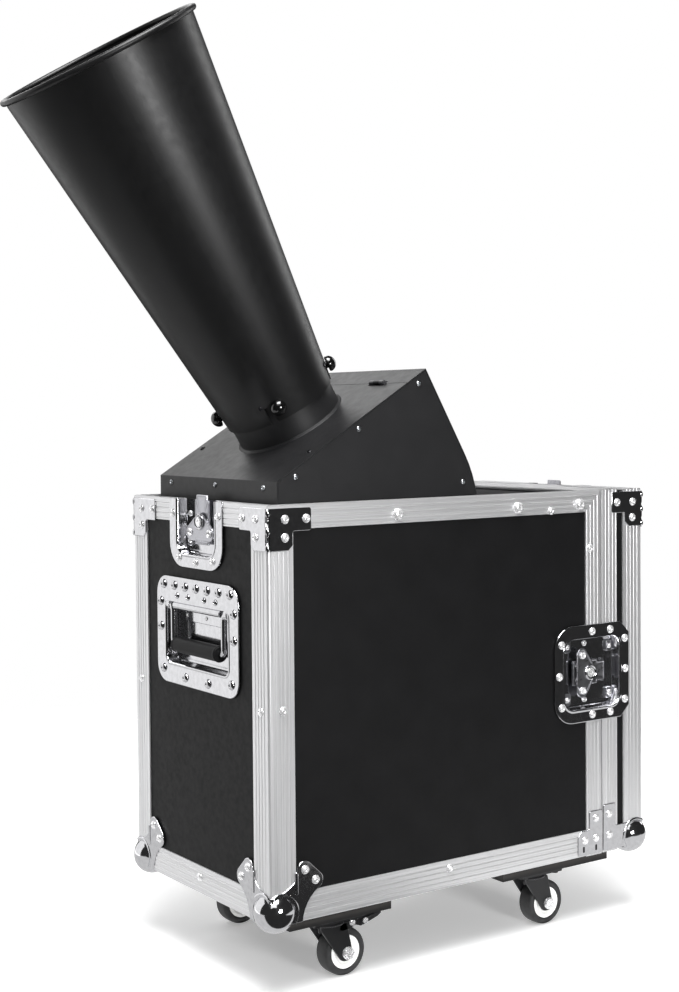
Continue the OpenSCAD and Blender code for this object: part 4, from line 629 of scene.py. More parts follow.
def ball_ring(radius=19.2, tube_r=1.9):
    """Rolled flange round the ball: one arc on each of the two upright faces, joined over the post's edge."""
    reach = math.sqrt(radius ** 2 - BALL_IN ** 2)
    a = np.linspace(math.atan2(-BALL_IN, reach) + 0.02, math.atan2(reach, -BALL_IN), 26)
    first = np.insert(arc(a, radius, (BALL_IN, BALL_IN)), 1, -0.2, axis=1)
    second = first[::-1][:, [1, 0, 2]]
    path = np.vstack([first, second[1:]])
    for _ in range(2):
        path[1:-1] = (path[:-2] + 2 * path[1:-1] + path[2:]) / 4
    return tube(path, tube_r, 12, normal=(1, 1, 0.03))


def ball_corner(at, petals):
    """Ball, flange and petals of one corner: at has its directions along the three edges from the corner."""
    parts = [put(ball_shell(), at), put(ball_ring(), at)]
    rib = pressed(oblong(28.2, 28, 31.8, 51, 1.7), 0.9, 0.8, PLATE - 0.1)
    for petal in petals:
        parts += [put(pressed(petal_outline(), PLATE, 0.7), petal), put(rib, petal)]
    return parts


class BlowerBallCorners(bpy.types.Operator):
    """Pressed ball corners with their flanges and clover petals"""

    bl_idname = "blower.ball_corners"
    bl_label = "Ball corners"

    def execute(self, context):
        parts = [part for at in SIDES for part in ball_corner(edges_from(at), (at, end_face(at)))]
        piece("ball_corner_pressings", parts, "case", ("ball_corners",))
        return {"FINISHED"}


def rim_brace(at):
    """L-shaped plate of a rim corner, its edges rolled."""
    outline = rounded([(1, -45), (24, -45), (29, -40), (29, -26), (51, -26), (51, -3), (1, -3)],
                      [0.4, 2, 2, 2.5, 2.5, 2.5, 0.4], 5)
    return put(pressed(outline, PLATE, 0.7), at)


def corner_bead(at, low, high):
    """Rolled joint of two brace plates: a rod with three swellings, up the corner's edge, and a notch above
    each of the lower two."""
    z = np.linspace(low, high, 64)
    u = (z - low) / (high - low)
    radius = 1.7 + sum(1.3 * np.exp(-((u - knuckle) / 0.07) ** 4)
                       - 1.1 * np.exp(-((u - knuckle - 0.14) / 0.03) ** 2) for knuckle in (0.08, 0.48, 0.9))
    profile = np.vstack([(0, low), np.column_stack([radius, z]), (0, high)])
    return put(lathe(profile, 16), moved(at, 0.9, 0.9))


class BlowerBraces(bpy.types.Operator):
    """Rim, foot and door braces with rolled joints"""

    bl_idname = "blower.braces"
    bl_label = "Braces"

    def execute(self, context):
        tub, door = [], []
        foot = rounded([(-38, 2), (-0.5, 2), (-0.5, 51), (-20.5, 51), (-20.5, 30), (-32, 30), (-38, 24)],
                       [1.5, 1, 1.5, 1.5, 2, 1.5, 1.5], 5)
        side = rounded([(1, 2.5), (51, 2.5), (51, 29.5), (20, 29.5), (20, 55.5), (1, 55.5)],
                       [1, 1.5, 1.5, 2, 1.5, 1.5], 5)
        upper = rounded([(-1, -43), (-1, -3), (-48.5, -3), (-48.5, -27), (-27.5, -27), (-27.5, -37.5),
                         (-22, -43)], [0.4, 0.4, 2.5, 2.5, 2.5, 2, 2], 5)
        for at in SIDES:
            tub += [rim_brace(moved(at, 0, CASE_H)), rim_brace(end_face(at, 0, CASE_H)),
                    put(pressed(foot, PLATE, 0.6), moved(at, TUB)),
                    corner_bead(edges_from(at), CASE_H - 45, CASE_H - 3)]
            # Thin black film on each foot brace where its two slots show: painted shade of the slots' insides,
            # with no opening cut
            for x in (-29.5, -10.5):
                slot = pressed(oblong(x - 1.4, 5.5, x + 1.4, 12, 0.8, 4), 0.06, 0.02, PLATE)
                tub.append(put(slot, moved(at, TUB), "black_screw"))
            door += [rim_brace(end_face(at, DOOR_X, CASE_H)), put(pressed(side, PLATE, 0.6), moved(at, TUB)),
                     put(pressed(upper, PLATE, 0.7), moved(at, DOOR_X, CASE_H)),
                     corner_bead(edges_from(at, DOOR_X), CASE_H - 43, CASE_H - 3)]
            door += ball_corner(edges_from(at, DOOR_X, DOOR_FLOOR), (end_face(at, DOOR_X),))
        piece("brace_pressings", tub, "case", ("corner_braces",))
        piece("door_corner_pressings", door, "door", ("door_corners",))
        return {"FINISHED"}


# Rivets, bolts and screws


def rivets(points, at, seat, scale=1.0, wear="rivet"):
    """A tubular rivet at each point of a face: a full dome with a small dimple, and its shank."""
    sizes = bpy.context.scene.blower_case
    scale *= PER_METRE
    r, h, reach = sizes.rivet_radius * scale, sizes.rivet_height * scale, PANEL_IN + seat
    shape = lathe([(0, h - 1.0), (r * 0.2, h - 0.95), (r * 0.3, h - 0.2), (r * 0.42, h), (r * 0.66, h * 0.86),
                   (r * 0.88, h * 0.5), (r, 0.22), (r, 0.0), (2.0, 0.0), (2.0, -reach), (0, -reach)], 20)
    return [put(shape, moved(at, x, y, seat), wear) for x, y in points]


CORNER_RIVETS = [(20, CASE_H - 14), (45, CASE_H - 14), (20, CASE_H - 32), (40, 52), (52.5, 40)]
LATCH_RIVETS = [(-15.5, 47), (-15.5, -47), (10 - LATCH_W, 35), (10 - LATCH_W, -35), (6.5 - LATCH_W, 0)]
KEEPER_RIVETS = [(12.5, 47), (12.5, -47), (KEEPER_W - 6.5, 35), (KEEPER_W - 6.5, -35), (KEEPER_W - 5.5, 0)]
HANDLE_RIVETS = [(s * x, y) for x, y in ((76, 29), (76, 2), (71, -43), (24, -48)) for s in (-1, 1)] + \
    [(x, 48) for x in range(-69, 70, 23)]
STRAP_RIVETS = [(s * x, 37.5) for x in (17, 40) for s in (-1, 1)]


class BlowerRivets(bpy.types.Operator):
    """Rivets of the tub and the door"""

    bl_idname = "blower.rivets"
    bl_label = "Rivets"

    def execute(self, context):
        tub, door = rivets([(0, 18)], LEFT, 0.0), []
        foot = [(TUB - 10.5, 42), (TUB - 10.5, 19.5), (TUB - 27.5, 19)]
        bare = [(TUB - 76, CASE_H - 20.5), (TUB - 17.5, CASE_H - 65), (16.5, 212), (224, 21)]
        braced = [(DOOR_X - x, CASE_H + y) for x, y in ((40, -15), (15.5, -15), (16, -33))]
        for at, seam in zip(SIDES, SEAMS):
            tub += rivets(CORNER_RIVETS + foot, at, PLATE) + rivets(CORNER_RIVETS, end_face(at), PLATE)
            tub += rivets(LATCH_RIVETS, seam, PLATE)
            tub += rivets(bare, at, 0.0) + rivets([(14.5, 211)], end_face(at), 0.0)
            door += rivets(KEEPER_RIVETS, seam, PLATE) + rivets(CORNER_RIVETS, end_face(at, DOOR_X), PLATE)
            door += rivets(braced + [(TUB + 10, 44), (TUB + 10, 20)], at, PLATE)
        for heads, face, lid in ((tub, LEFT, LID), (door, DOOR, DOOR_LID)):
            heads += rivets(LATCH_RIVETS, lid, PLATE)
            for points, scale in ((HANDLE_RIVETS, 1.12), (STRAP_RIVETS, 0.75)):
                heads += rivets(points, moved(face, 0, HANDLE_Z), PLATE, scale, "bright_steel")
        piece("tub_rivet_heads", tub, "case", ("case_rivets",))
        piece("door_rivet_heads", door, "door", ("door_rivets",))
        return {"FINISHED"}


def hexagon(radius):
    """Outline of a nut, by the radius to its corners."""
    return arc(np.radians(np.arange(6) * 60.0), radius)


class BlowerBolts(bpy.types.Operator):
    """Rim bolts with their spacers, and the screws of hood and control panel"""

    bl_idname = "blower.bolts"
    bl_label = "Bolts and screws"

    def execute(self, context):
        bolts = []
        head = [(0, 3.7), (2.0, 3.8), (2.3, 4.6), (3.1, 4.75), (4.6, 4.2), (5.8, 2.9), (6.4, 1.4), (6.4, 0)]
        spacer = lathe([(3.1, -19), (7, -19), (7, -RIM), (3.1, -RIM)], 28)
        for near in SIDES:
            for x, grip in ((158.5, 22.0), (321.5, 13.5), (412.5, 13.5)):
                at = moved(near, x, CASE_H - 15)
                bolts += [put(lathe(head + [(3, 0), (3, -grip - 6), (0, -grip - 6)], 28), at, "rivet"),
                          put(pressed(hexagon(5.6), 4.8, 0.5, -grip - 5), at, "rivet")]
            bolts.append(put(spacer, moved(near, 158.5, CASE_H - 15), "rivet"))
        plain, dark = [place((HOOD_X0, MID, LIP_Z - 7), -Y, Z, -X)], []
        for side, wall in ((-1, HOOD_Y0), (1, HOOD_Y1)):
            slope_face = place(moved(ON_SLOPE, 0, wall)[0], UP_SLOPE, OFF_SLOPE, side * Y)
            plain += [moved(slope_face, s, h) for s, h in ((21.5, -7.9), (112, -8.2), (202.5, -8.6))]
            plain += [place((HOOD_X1 - 19, wall, CASE_H + 14.5), X, Z, side * Y),
                      place((HOOD_X0, wall - 25 * side, LIP_Z - 7), -Y, Z, -X)]
            plain += [place((HOOD_X1, MID + side * 100, z), Y, Z, X) for z in (39, 142, 245)]
            dark.append(moved(ON_SLOPE, 55, wall - 12 * side))
        screw = lathe([(0, 0.75), (1.0, 0.8), (1.25, 1.35), (1.9, 1.25), (2.6, 0.8), (3.0, 0.15), (3.0, 0),
                       (1.5, 0), (1.5, -4.5), (0, -4.5)], 18)
        screws = [put(screw, at, "pipe_steel") for at in plain] + [put(screw, at, "black_screw") for at in dark]
        piece("rim_bolt_set", bolts, "case", ("rim_bolts",))
        piece("screw_set", screws, "case", ("hood_screws",))
        return {"FINISHED"}


# Recessed dishes


def half_ring(width, height, radius, by=0.0, count=8, square=0.0):
    """Half of a rounded plate, open on the seam at x = 0, drawn in by a distance. With square above 0 the
    corners are cut straight instead."""
    if square:
        u = np.linspace(0, 1, count)
        c = square - by * 0.4
        corner = np.column_stack([-width + by + c * (1 - u), height / 2 - by - c * u])
    else:
        a, r = np.linspace(np.pi / 2, np.pi, count), max(radius - by, 0.2)
        corner = arc(a, r, (-width + by + r, height / 2 - by - r))
    upper = np.vstack([[(0, height / 2 - by)], corner])
    return np.vstack([upper, upper[::-1] * (1, -1)])


def full_ring(width, height, radius, drop=0.0, by=0.0, count=8):
    """A rounded plate drawn in by a distance, its middle lowered by drop."""
    w, h = width / 2 - by, height / 2 - by
    return oblong(-w, -h - drop, w, h - drop, max(radius - by, 0.3), count)


def dish(ring, flange, pan, depth, around, square=0.0):
    """A plate with a sunken pan: rings run over the rolled outer edge, across the flange, over the rolled lip,
    down the wall and to the floor; the underside follows back, and an open seam is closed by one face."""
    floor = PLATE - depth
    edge = [(0.1, PLATE * 0.55), (0.45, PLATE * 0.92), (0.9, PLATE), (1.4, PLATE)]
    lip = [(-3.1, PLATE), (-2.6, PLATE), (-1.9, PLATE + 0.45), (-1.1, PLATE + 0.75), (-0.2, PLATE + 0.6),
           (0.5, PLATE - 0.2), (1.0, -1.2), (1.2, floor + 1.8), (1.7, floor + 0.6), (2.8, floor), (3.4, floor)]
    corners = {"square": square} if square else {}
    outlines = [(ring(*pan, by=0), -depth), (ring(*pan, by=0), 0)]
    outlines += [(ring(*flange, by=by, **corners), z) for by, z in [(0, 0)] + edge]
    outlines += [(ring(*pan, by=by), z) for by, z in lip]
    points, faces = loft([np.insert(line, 2, z, axis=1) for line, z in outlines], around=around)
    if not around:
        first = np.arange(len(outlines)) * len(outlines[0][0])
        faces.append(first.tolist() + (first + len(outlines[0][0]) - 1)[::-1].tolist())
    return points, faces


def latch_dish(at, keeper=False, post_x=POST_X):
    """One half of a latch's recessed dish, with corner screws in the pan, and the post on the tub's half."""
    width = KEEPER_W if keeper else LATCH_W
    points, faces = dish(half_ring, (width, LATCH_H, 26.0), (width - PAN_SIDE, PAN_H, 14.0), PAN_D, False,
                         13.0 if keeper else 0.0)
    parts = [put((points * (-1 if keeper else 1, 1, 1), faces), at, "latch_dish")]
    floor = PLATE - PAN_D
    small = lathe([(0, 1.0), (1.1, 1.1), (1.4, 1.9), (2.4, 1.7), (3.2, 0.9), (3.4, 0)], 18)
    if keeper:
        lug, lug_x, lug_y = pressed(full_ring(9, 13, 2.5), 3.2, 1.2, floor - 0.1), 20, 27
        parts.append(put(block((8, -13, floor - 0.1), (12, 13, floor + 2.5)), at, "latch_steel"))
    else:
        lug, lug_x, lug_y = pressed(full_ring(12, 14, 3.5), 2.2, 1.0, floor - 0.1), -44, 30
        head = WING_Z + 2.3
        post = lathe([(0, floor - 0.1), (6, floor - 0.1), (6, floor + 2.3), (3, floor + 2.4), (3, head),
                      (5.2, head), (5.2, head + 0.9), (4.5, head + 1.6), (2.0, head + 1.6), (1.7, head + 0.9),
                      (0, head + 0.8)], 28)
        parts.append(put(post, moved(at, post_x), "rivet"))
        parts += [put(small, moved(at, -16, s * 32, floor), "rivet") for s in (-1, 1)]
    for s in (-1, 1):
        parts += [put(lug, moved(at, lug_x, s * lug_y), "latch_steel"),
                  put(small, moved(at, lug_x, s * lug_y, floor + (3.0 if keeper else 2.1)), "rivet")]
    return parts


def handle_dish(at):
    """Handle's plate with its sunken pan, the ears that carry the bail, and its hinge strap and knuckle."""
    floor = PLATE - HANDLE_D
    parts = [put(dish(full_ring, (HANDLE_W, HANDLE_H, 20.0), (*HANDLE_PAN, 8.0, PAN_DROP), HANDLE_D, True), at,
                 "dish_steel"),
             put(pressed(full_ring(92.0, 19.0, 1.5), 1.4, 0.6, floor - 0.1), moved(at, 0, 19.0), "dish_steel")]
    ear = oblong(-6, floor - 0.2, 6, BAIL_OUT + 4, [0.5, 0.5, 5.4, 5.4], 7)
    for s in (-1, 1):
        on_ear = place(at[0] + s * (BAIL_X + 4.4) * at[1] + BAIL_Y * at[2], at[2], at[3], at[1] * s)
        parts.append(put(pressed(ear, 6.0, 0.8), on_ear, "dish_steel"))
    stud = lathe([(0, 0.8), (0.9, 1.3), (1.8, 1.0), (2.4, 0)], 14)
    parts += [put(stud, moved(at, x, 16.0, floor + 1.2), "rivet") for x in (-40.0, 0.0, 40.0)]
    knuckle = [(0, -48.6), (3.6, -48.6), (4.0, -48.2), (4.0, 48.2), (3.6, 48.6), (0, 48.6)]
    parts.append(put(lathe(knuckle, 24), tipped(moved(at, 0, BAIL_Y, BAIL_OUT))))
    return parts


class BlowerDishes(bpy.types.Operator):
    """Recessed dishes of latches and handles"""

    bl_idname = "blower.dishes"
    bl_label = "Recessed dishes"

    def execute(self, context):
        for name, body, cad, keeper, face, lid in (
                ("tub_dish_pressings", "case", "recessed_dishes", False, LEFT, LID),
                ("door_dish_pressings", "door", "door_dishes", True, DOOR, DOOR_LID)):
            parts = latch_dish(lid, post_x=LID_POST_X) + handle_dish(moved(face, 0, HANDLE_Z))
            for seam in SEAMS:
                parts += latch_dish(seam, keeper)
            piece(name, parts, body, (cad,))
        return {"FINISHED"}


def wing_parts(at, post_x):
    """Butterfly wing: a plate whose outline wraps two round lobes and the cam, with a rolled rim, a ringed boss
    on each lobe and a raised cam ring."""
    post = moved(at, post_x, 0, WING_Z)
    lobe, cam, across, up = 8.0, 9.6, -12.0, 20.0
    tilt = math.atan2(up, across) - math.acos((cam - lobe) / math.hypot(across, up))
    upper = np.linspace(tilt, np.pi, 14)
    nose = np.linspace(-tilt, tilt, 12)
    round_lobe = arc(upper, lobe, (across, up))
    outline = np.vstack([arc(nose, cam), round_lobe, round_lobe[::-1] * (1, -1)])
    boss = lathe([(0, 0.8), (1.6, 0.9), (2.1, 2.0), (3.0, 2.4), (4.0, 2.0), (4.4, 0.9), (4.4, 0)], 22)
    ring = lathe([(5.7, 0.6), (8.4, 0.6), (8.8, 1.8), (8.5, 3.0), (7.6, 3.5), (6.5, 3.0), (5.8, 2.0)], 40)
    plate = loft(stacked(outline, edge_roll(1.8, 0.7) + [(1.9, 1.8), (2.4, 1.45), (3.2, 1.4)]))
    return [put(plate, post, "latch_steel"), put(ring, post)] + \
        [put(boss, moved(post, across + 0.5, s * up, 0.9), "rivet") for s in (-1, 1)]


def hook_parts(at, tab, post_x):
    """Hook plate: a slotted slide with a folded back edge and its tab over the keeper. The outline's points are
    matched by angle to those of the slot that the post stands in."""
    base = moved(at, 0, 0, HOOK_Z)
    reach, slot_r, back = 6.0, 3.2, post_x - 24.0
    outline = rounded([(back, -14), (0, -14), (0, -11), (tab, -11), (tab, 11), (0, 11), (0, 14), (back, 14)],
                      [1.5, 1, 0.6, 1.5, 1.5, 0.6, 1, 1.5], 4)
    outline = resampled(outline, 160)
    slot = arc(np.linspace(-np.pi / 2, np.pi / 2, 9), slot_r)
    slot = np.vstack([slot + (post_x, 0), (post_x - reach, 0) - slot])
    target, angle = [np.arctan2(line[:, 1], line[:, 0] - (post_x - reach / 2)) for line in (slot, outline)]
    order = np.argsort(target)
    inner = np.column_stack([np.interp(angle, target[order], slot[order, k], period=2 * np.pi) for k in (0, 1)])
    rings = stacked(outline, [(0, 0.0), (0, 1.3), (0.25, 1.8), (0.8, 2.0), (1.5, 1.9), (2.0, 1.6), (2.6, 1.5)])
    rings += [np.insert(inner, 2, z, axis=1) for z in (1.5, 0.0)]
    stud = lathe([(0, 0.3), (1.4, 0.3), (1.7, 0.9), (2.5, 0.8), (2.9, 0)], 16)
    return [put(loft(rings, looped=True), base, "latch_steel"),
            put(block((back, -13, 1.8), (back + 2, 13, 2.8)), base, "latch_steel")] + \
        [put(stud, moved(base, back + 7, s * 8, 1.45), "rivet") for s in (-1, 1)]


class BlowerLatches(bpy.types.Operator):
    """Wings and hooks of the four butterfly latches"""

    bl_idname = "blower.latches"
    bl_label = "Butterfly latches"

    def execute(self, context):
        for word, at, tab, post_x in (("near", SEAMS[0], 11.0, POST_X), ("far", SEAMS[1], 11.0, POST_X),
                                      ("lid", LID, 5.0, LID_POST_X), ("door", DOOR_LID, 5.0, LID_POST_X)):
            for kind, parts in (("wing", wing_parts(at, post_x)), ("hook", hook_parts(at, tab, post_x))):
                piece(f"{word}_{kind}_pressing", parts, f"{word}_{kind}", (f"{word}_latch_{kind}",))
        return {"FINISHED"}


class BlowerHandles(bpy.types.Operator):
    """Bails and rubber grips of the two spring handles"""

    bl_idname = "blower.handles"
    bl_label = "Spring handles"

    def execute(self, context):
        path = bent([(-BAIL_X - 10.2, BAIL_Y), (-BAIL_X, BAIL_Y), (-BAIL_X, GRIP_Y), (BAIL_X, GRIP_Y),
                     (BAIL_X, BAIL_Y), (BAIL_X + 10.2, BAIL_Y)], 6.5, 9)
        bail = tube(np.insert(path, 2, 0.0, axis=1), 3.4, 18)
        long = BAIL_X - 6.8
        z = np.linspace(-long, long, 97)
        radius = 8.3 + 0.5 * np.exp(-((np.abs(z) - long + 2.2) / 1.3) ** 2)
        radius[[0, -1]] -= 0.8
        sleeve = lathe(np.vstack([(3.45, -long), np.column_stack([radius, z]), (3.45, long)]), 40)
        for word, face in (("end", LEFT), ("door", DOOR)):
            at = moved(face, 0, HANDLE_Z, BAIL_OUT)
            parts = [put(bail, at), put(sleeve, tipped(moved(at, 0, GRIP_Y)), "grip_rubber")]
            piece(word + "_bail_and_grip", parts, word + "_handle", (word + "_handle",))
        return {"FINISHED"}


# Machine


def barrel_shell():
    """Rolled cone with a wall: two grids of angle and height, one for each side of the sheet. Cells inside a
    bayonet slot are left out, and strips of wall join the two sides along every edge."""
    half = math.degrees(math.asin(SLOT_W / 2 / BARREL_R))
    starts = KNOB_A + 90.0 * np.arange(4)
    marks = np.concatenate([starts - TURN - half, starts - TURN + half, starts + SLOT_END]) % 360
    angle = np.unique(np.round(np.concatenate([np.arange(0, 360, 2.5), marks]), 6))
    gaps = np.diff(np.append(angle, angle[0] + 360))
    angle = angle[np.append(True, gaps[:-1] > 0.4) | np.isin(angle, np.round(marks, 6))]
    heights = np.concatenate([[BARREL_Z0, KNOB_Z - SLOT_W / 2, KNOB_Z + SLOT_W / 2],
                              np.linspace(56, MOUTH_Z - 3.2, 14)])
    middle = (angle + np.append(angle[1:], angle[0] + 360)) / 2
    turn = (middle[None, :] - starts[:, None] + 180) % 360 - 180
    entry = (np.abs(turn + TURN) < half).any(0)
    channel = ((turn > -TURN) & (turn < SLOT_END)).any(0)
    keep = np.ones((len(heights) - 1, len(angle)), bool)
    keep[0, entry] = False
    keep[1, entry | channel] = False
    a = np.radians(angle)
    r = (BARREL_R + BARREL_SLOPE * (heights - BARREL_Z0))[:, None]
    z = np.repeat(heights[:, None], len(a), 1)
    points = np.concatenate([np.stack([(r - wall) * np.cos(a), (r - wall) * np.sin(a), z], -1).reshape(-1, 3)
                             for wall in (0.0, 1.2)])
    count = z.size
    index = np.arange(count).reshape(z.shape)
    beside = np.roll(index, -1, 1)
    cells = np.stack([index[:-1], beside[:-1], beside[1:], index[1:]], -1)[keep]
    none = np.zeros((1, len(a)), bool)
    above, below = np.vstack([keep, none]), np.vstack([none, keep])
    left, right = keep & ~np.roll(keep, 1, 1), keep & ~np.roll(keep, -1, 1)
    low, high = above & ~below, below & ~above
    edge = np.concatenate([np.stack(pair, -1) for pair in (
        (index[1:][left], index[:-1][left]), (beside[:-1][right], beside[1:][right]),
        (index[low], beside[low]), (beside[high], index[high]))])
    wall = np.stack([edge[:, 0], edge[:, 1], edge[:, 1] + count, edge[:, 0] + count], -1)
    used, renumbered = np.unique(np.concatenate([cells, cells[:, ::-1] + count, wall]), return_inverse=True)
    return points[used], renumbered.reshape(-1, 4).tolist()


def facing_out(degrees, z, out):
    """A place on the barrel's axis turned to an angle, its z pointing outwards from out millimetres off it."""
    at = turned(moved(AXIS, 0, 0, z), degrees)
    return place(at[0] + out * at[1], at[2], at[3], at[1])


class BlowerBarrel(bpy.types.Operator):
    """Rolled barrel with its bead and bayonet slots, the spigot below it and the clamping knobs"""

    bl_idname = "blower.barrel"
    bl_label = "Barrel and spigot"

    def execute(self, context):
        sizes = context.scene.blower_machine
        quarters = KNOB_A + 90 * np.arange(4)
        a = np.linspace(0, 2 * np.pi, 16, endpoint=False)
        bead_r = sizes.bead_radius * PER_METRE
        bead = arc(a, bead_r, (MOUTH_R + 1.0, MOUTH_Z - bead_r))
        weld_z = np.linspace(BARREL_Z0 + 22, MOUTH_Z - 8, 60)
        weld_r = BARREL_R - 0.25 + BARREL_SLOPE * (weld_z - BARREL_Z0)
        c, s = math.cos(sizes.weld_place), math.sin(sizes.weld_place)
        weld = tube(np.column_stack([weld_r * c, weld_r * s, weld_z]), 0.9, 8, normal=(-s, c, 0))
        parts = [put(shape, AXIS, "barrel_coat") for shape in (barrel_shell(), lathe(bead, 144), weld)]
        stop = lathe([(0, 0.5), (0.9, 0.6), (1.2, 1.2), (1.9, 1.1), (2.5, 0.5), (2.6, -0.4), (0, -0.4)], 16)
        seat = BARREL_R + BARREL_SLOPE * (KNOB_Z + 6 - BARREL_Z0)
        parts += [put(stop, facing_out(k - TURN - 7, KNOB_Z + 6, seat), "black_screw") for k in quarters]
        piece("rolled_barrel", parts, "barrel", ("barrel",), 30.0)
        r, t = SPIGOT_R, SPIGOT_T
        collar = [(r - t, -108), (r, -108), (r, -4.5), (r + 12.6, -4.5), (r + 13, -4.1), (r + 13, -1.6),
                  (r + 0.4, -1.5), (r, -1.1), (r, 67.4), (r - 0.5, 68), (r - t + 0.4, 68), (r - t, 67.6)]
        fold = [(r + 0.05, 0.0), (r + 3.2, 0.0), (r + 2.6, 0.5), (r + 1.2, 0.85), (r + 0.05, 1.6)]
        parts = [put(lathe(profile, 128), AXIS, "black_sheet") for profile in (collar, fold)]
        nut = pressed(hexagon(8.0), 8.0, 0.5, r - 8.5)
        parts += [put(nut, facing_out(k, KNOB_Z, 0), "pipe_steel") for k in quarters]
        piece("rolled_spigot", parts, "case", ("spigot",), 30.0)
        ball = sizes.knob_radius * PER_METRE
        dome = arc(np.linspace(0, np.pi / 2, 12), ball) * (1, 0.93) + (0, 1.6)
        profile = np.vstack([[(0, -14.5), (4, -14.5), (4, 0), (ball - 1.4, 0), (ball - 0.5, 0.5)], dome])
        profile[-1, 0] = 0.0
        for k, degrees in enumerate(quarters, 1):
            knob = put(lathe(profile, 36), facing_out(degrees, KNOB_Z, KNOB_SEAT), "gloss_black")
            piece(f"ball_knob_{k}", [knob], f"knob_{k}", (f"clamp_knob_{k}",))
        return {"FINISHED"}


# Casters


def on_caster(at, x, z):
    """A place at a point of the caster's middle plane, its z along the axle and pointing to the near side."""
    return place(at[0] + x * at[1] + z * at[3], at[1], at[3], -at[2])


def cheek(at, s, out):
    """A place on one side of a caster, its z outwards from out millimetres off the middle plane."""
    return place(at[0] + s * out * at[2], at[1], at[3], s * at[2])


def fork_parts(at, braked):
    """Pressed fork: ball race on top, two legs with rolled edges, and the axle's bolt and nut."""
    top, out = FORK_TOP, LEG_IN + FORK_T
    leg = rounded([(-17, top - 1.4), (11, -60.4), (26.4, -60.4), (17.4, top - 1.4)], [1.5, 7.6, 7.6, 1.5], 9)
    shoulder = oblong(-17, top - 7, 17.4, top - 0.4, [1, 1, 3, 3], 5)
    lug = rounded([(8, top - 1), (8, -29), (22, -28), (29.5, -24), (29, top - 0.4)], [1, 3, 3, 2.5, 2], 5)
    eyelet = lathe([(0, 0.5), (1.0, 0.6), (1.35, 1.35), (2.1, 1.5), (3.0, 1.1), (3.4, 0.3), (3.4, 0)], 20)
    race = lathe([(6.1, top - 2.5), (17.2, top - 2.5), (18.8, top - 1.8), (19, top - 0.9), (18.2, top),
                  (6.1, top)], 40)
    axle = lathe([(0, out + 1.2), (2.2, out + 1.4), (3.4, out + 2.6), (5.6, out + 2.4), (6.6, out + 1.4),
                  (6.6, out), (4, out), (4, -out - 5), (3.4, -out - 5.6), (0, -out - 5.6)], 28)
    across = on_caster(at, AXLE_X, AXLE_Z)
    parts = [put(race, at, "caster_steel"), put(axle, across, "rivet"),
             put(pressed(hexagon(6.6), 3.6, 0.7, out - 0.1), across, "rivet"),
             put(pressed(hexagon(6.6), 3.9, 0.7, -out - 4), across, "rivet")]
    for s in (-1, 1):
        side = cheek(at, s, LEG_IN)
        parts += [put(pressed(leg, FORK_T, 0.9), side, "caster_steel"),
                  put(pressed(shoulder, FORK_T - 0.2, 1.2), side, "caster_steel")]
        if braked:
            parts += [put(pressed(lug, FORK_T, 0.8), side, "caster_steel"),
                      put(eyelet, moved(side, PIVOT_X, PIVOT_Z, FORK_T), "rivet")]
    if braked:
        pin = lathe([(0, -out), (2, -out), (2, out), (0, out)], 16)
        parts.append(put(pin, on_caster(at, PIVOT_X, PIVOT_Z), "rivet"))
    return parts


def wheel_parts(at):
    """Tyre and hub turned about the axle: a crowned tread with round shoulders, a bright dished hub."""
    across = on_caster(at, AXLE_X, AXLE_Z)
    half, hub = WHEEL_W / 2, WHEEL_R - 7.5
    shoulder = arc(np.linspace(np.pi / 2, 0, 6)) * (3.3, 3.6) + (WHEEL_R - 3.6, half - 3.6)
    outer = np.vstack([[(hub + 0.02, half - 1.2), (hub + 0.8, half - 0.3), (hub + 2.0, half)], shoulder,
                       [(WHEEL_R - 0.1, 3.0)]])
    tyre = np.vstack([outer, [(WHEEL_R, 0.0)], outer[::-1] * (1, -1)])
    rim = np.array([(4.05, -half - 0.5), (7.0, -half - 0.5), (7.6, -half + 0.4), (8.2, -half + 2.6),
                    (11.5, -half + 2.9), (13.0, -half + 1.0), (14.2, -half + 0.3), (hub - 0.4, -half + 0.4),
                    (hub, -half + 1.0)])
    rim = np.vstack([rim, rim[::-1] * (1, -1)])
    return [put(lathe(tyre, 64), across, "wheel_rubber"), put(lathe(rim, 56), across, "wheel_hub")]


def pedal_parts(at):
    """Brake pedal: two cheeks with round tips and a curved tread folded between them."""
    thin = rounded([(19.8, -20), (36, -18.4), (60, -14.6), (62.4, -17.5), (58, -21.2), (44, -25.5),
                    (37.5, -28.6), (31, -26.3), (20.5, -26.2)], [1.5, 6, 1.6, 1.6, 3, 5, 2.5, 3, 1.5], 6)
    wide = rounded([(36.3, -20.5), (60, -15.8), (62, -18), (57, -21.2), (44, -25.2), (37, -27.6)],
                   [2, 1.6, 1.6, 3, 4, 2], 6)
    eyelet = lathe([(0, 0.4), (1.0, 0.5), (1.35, 1.2), (2.1, 1.3), (3.0, 1.0), (3.3, 0.3), (3.3, 0)], 20)
    parts = []
    for s in (-1, 1):
        side = cheek(at, s, 9.1)
        parts += [put(pressed(thin, 1.6, 0.7), side, "caster_steel"),
                  put(pressed(wide, 2.8, 1.0), moved(side, 0, 0, 1.5), "caster_steel"),
                  put(eyelet, moved(side, 40.5, -22.6, 4.2), "rivet")]
    line = bent([(20.5, -20.6), (36, -19.0), (58, -15.9), (61.4, -18.2)], 2.0, 6)
    off = unit(np.gradient(line, axis=0)[:, ::-1] * (-1, 1))
    rows = [np.insert(line + off * lift, 1, y, axis=1)
            for y, lift in ((-10.6, 0.0), (-10.6, 1.3), (10.6, 1.3), (10.6, 0.0))]
    parts.append(put(loft(np.stack(rows, 1)), at, "caster_steel"))
    return parts


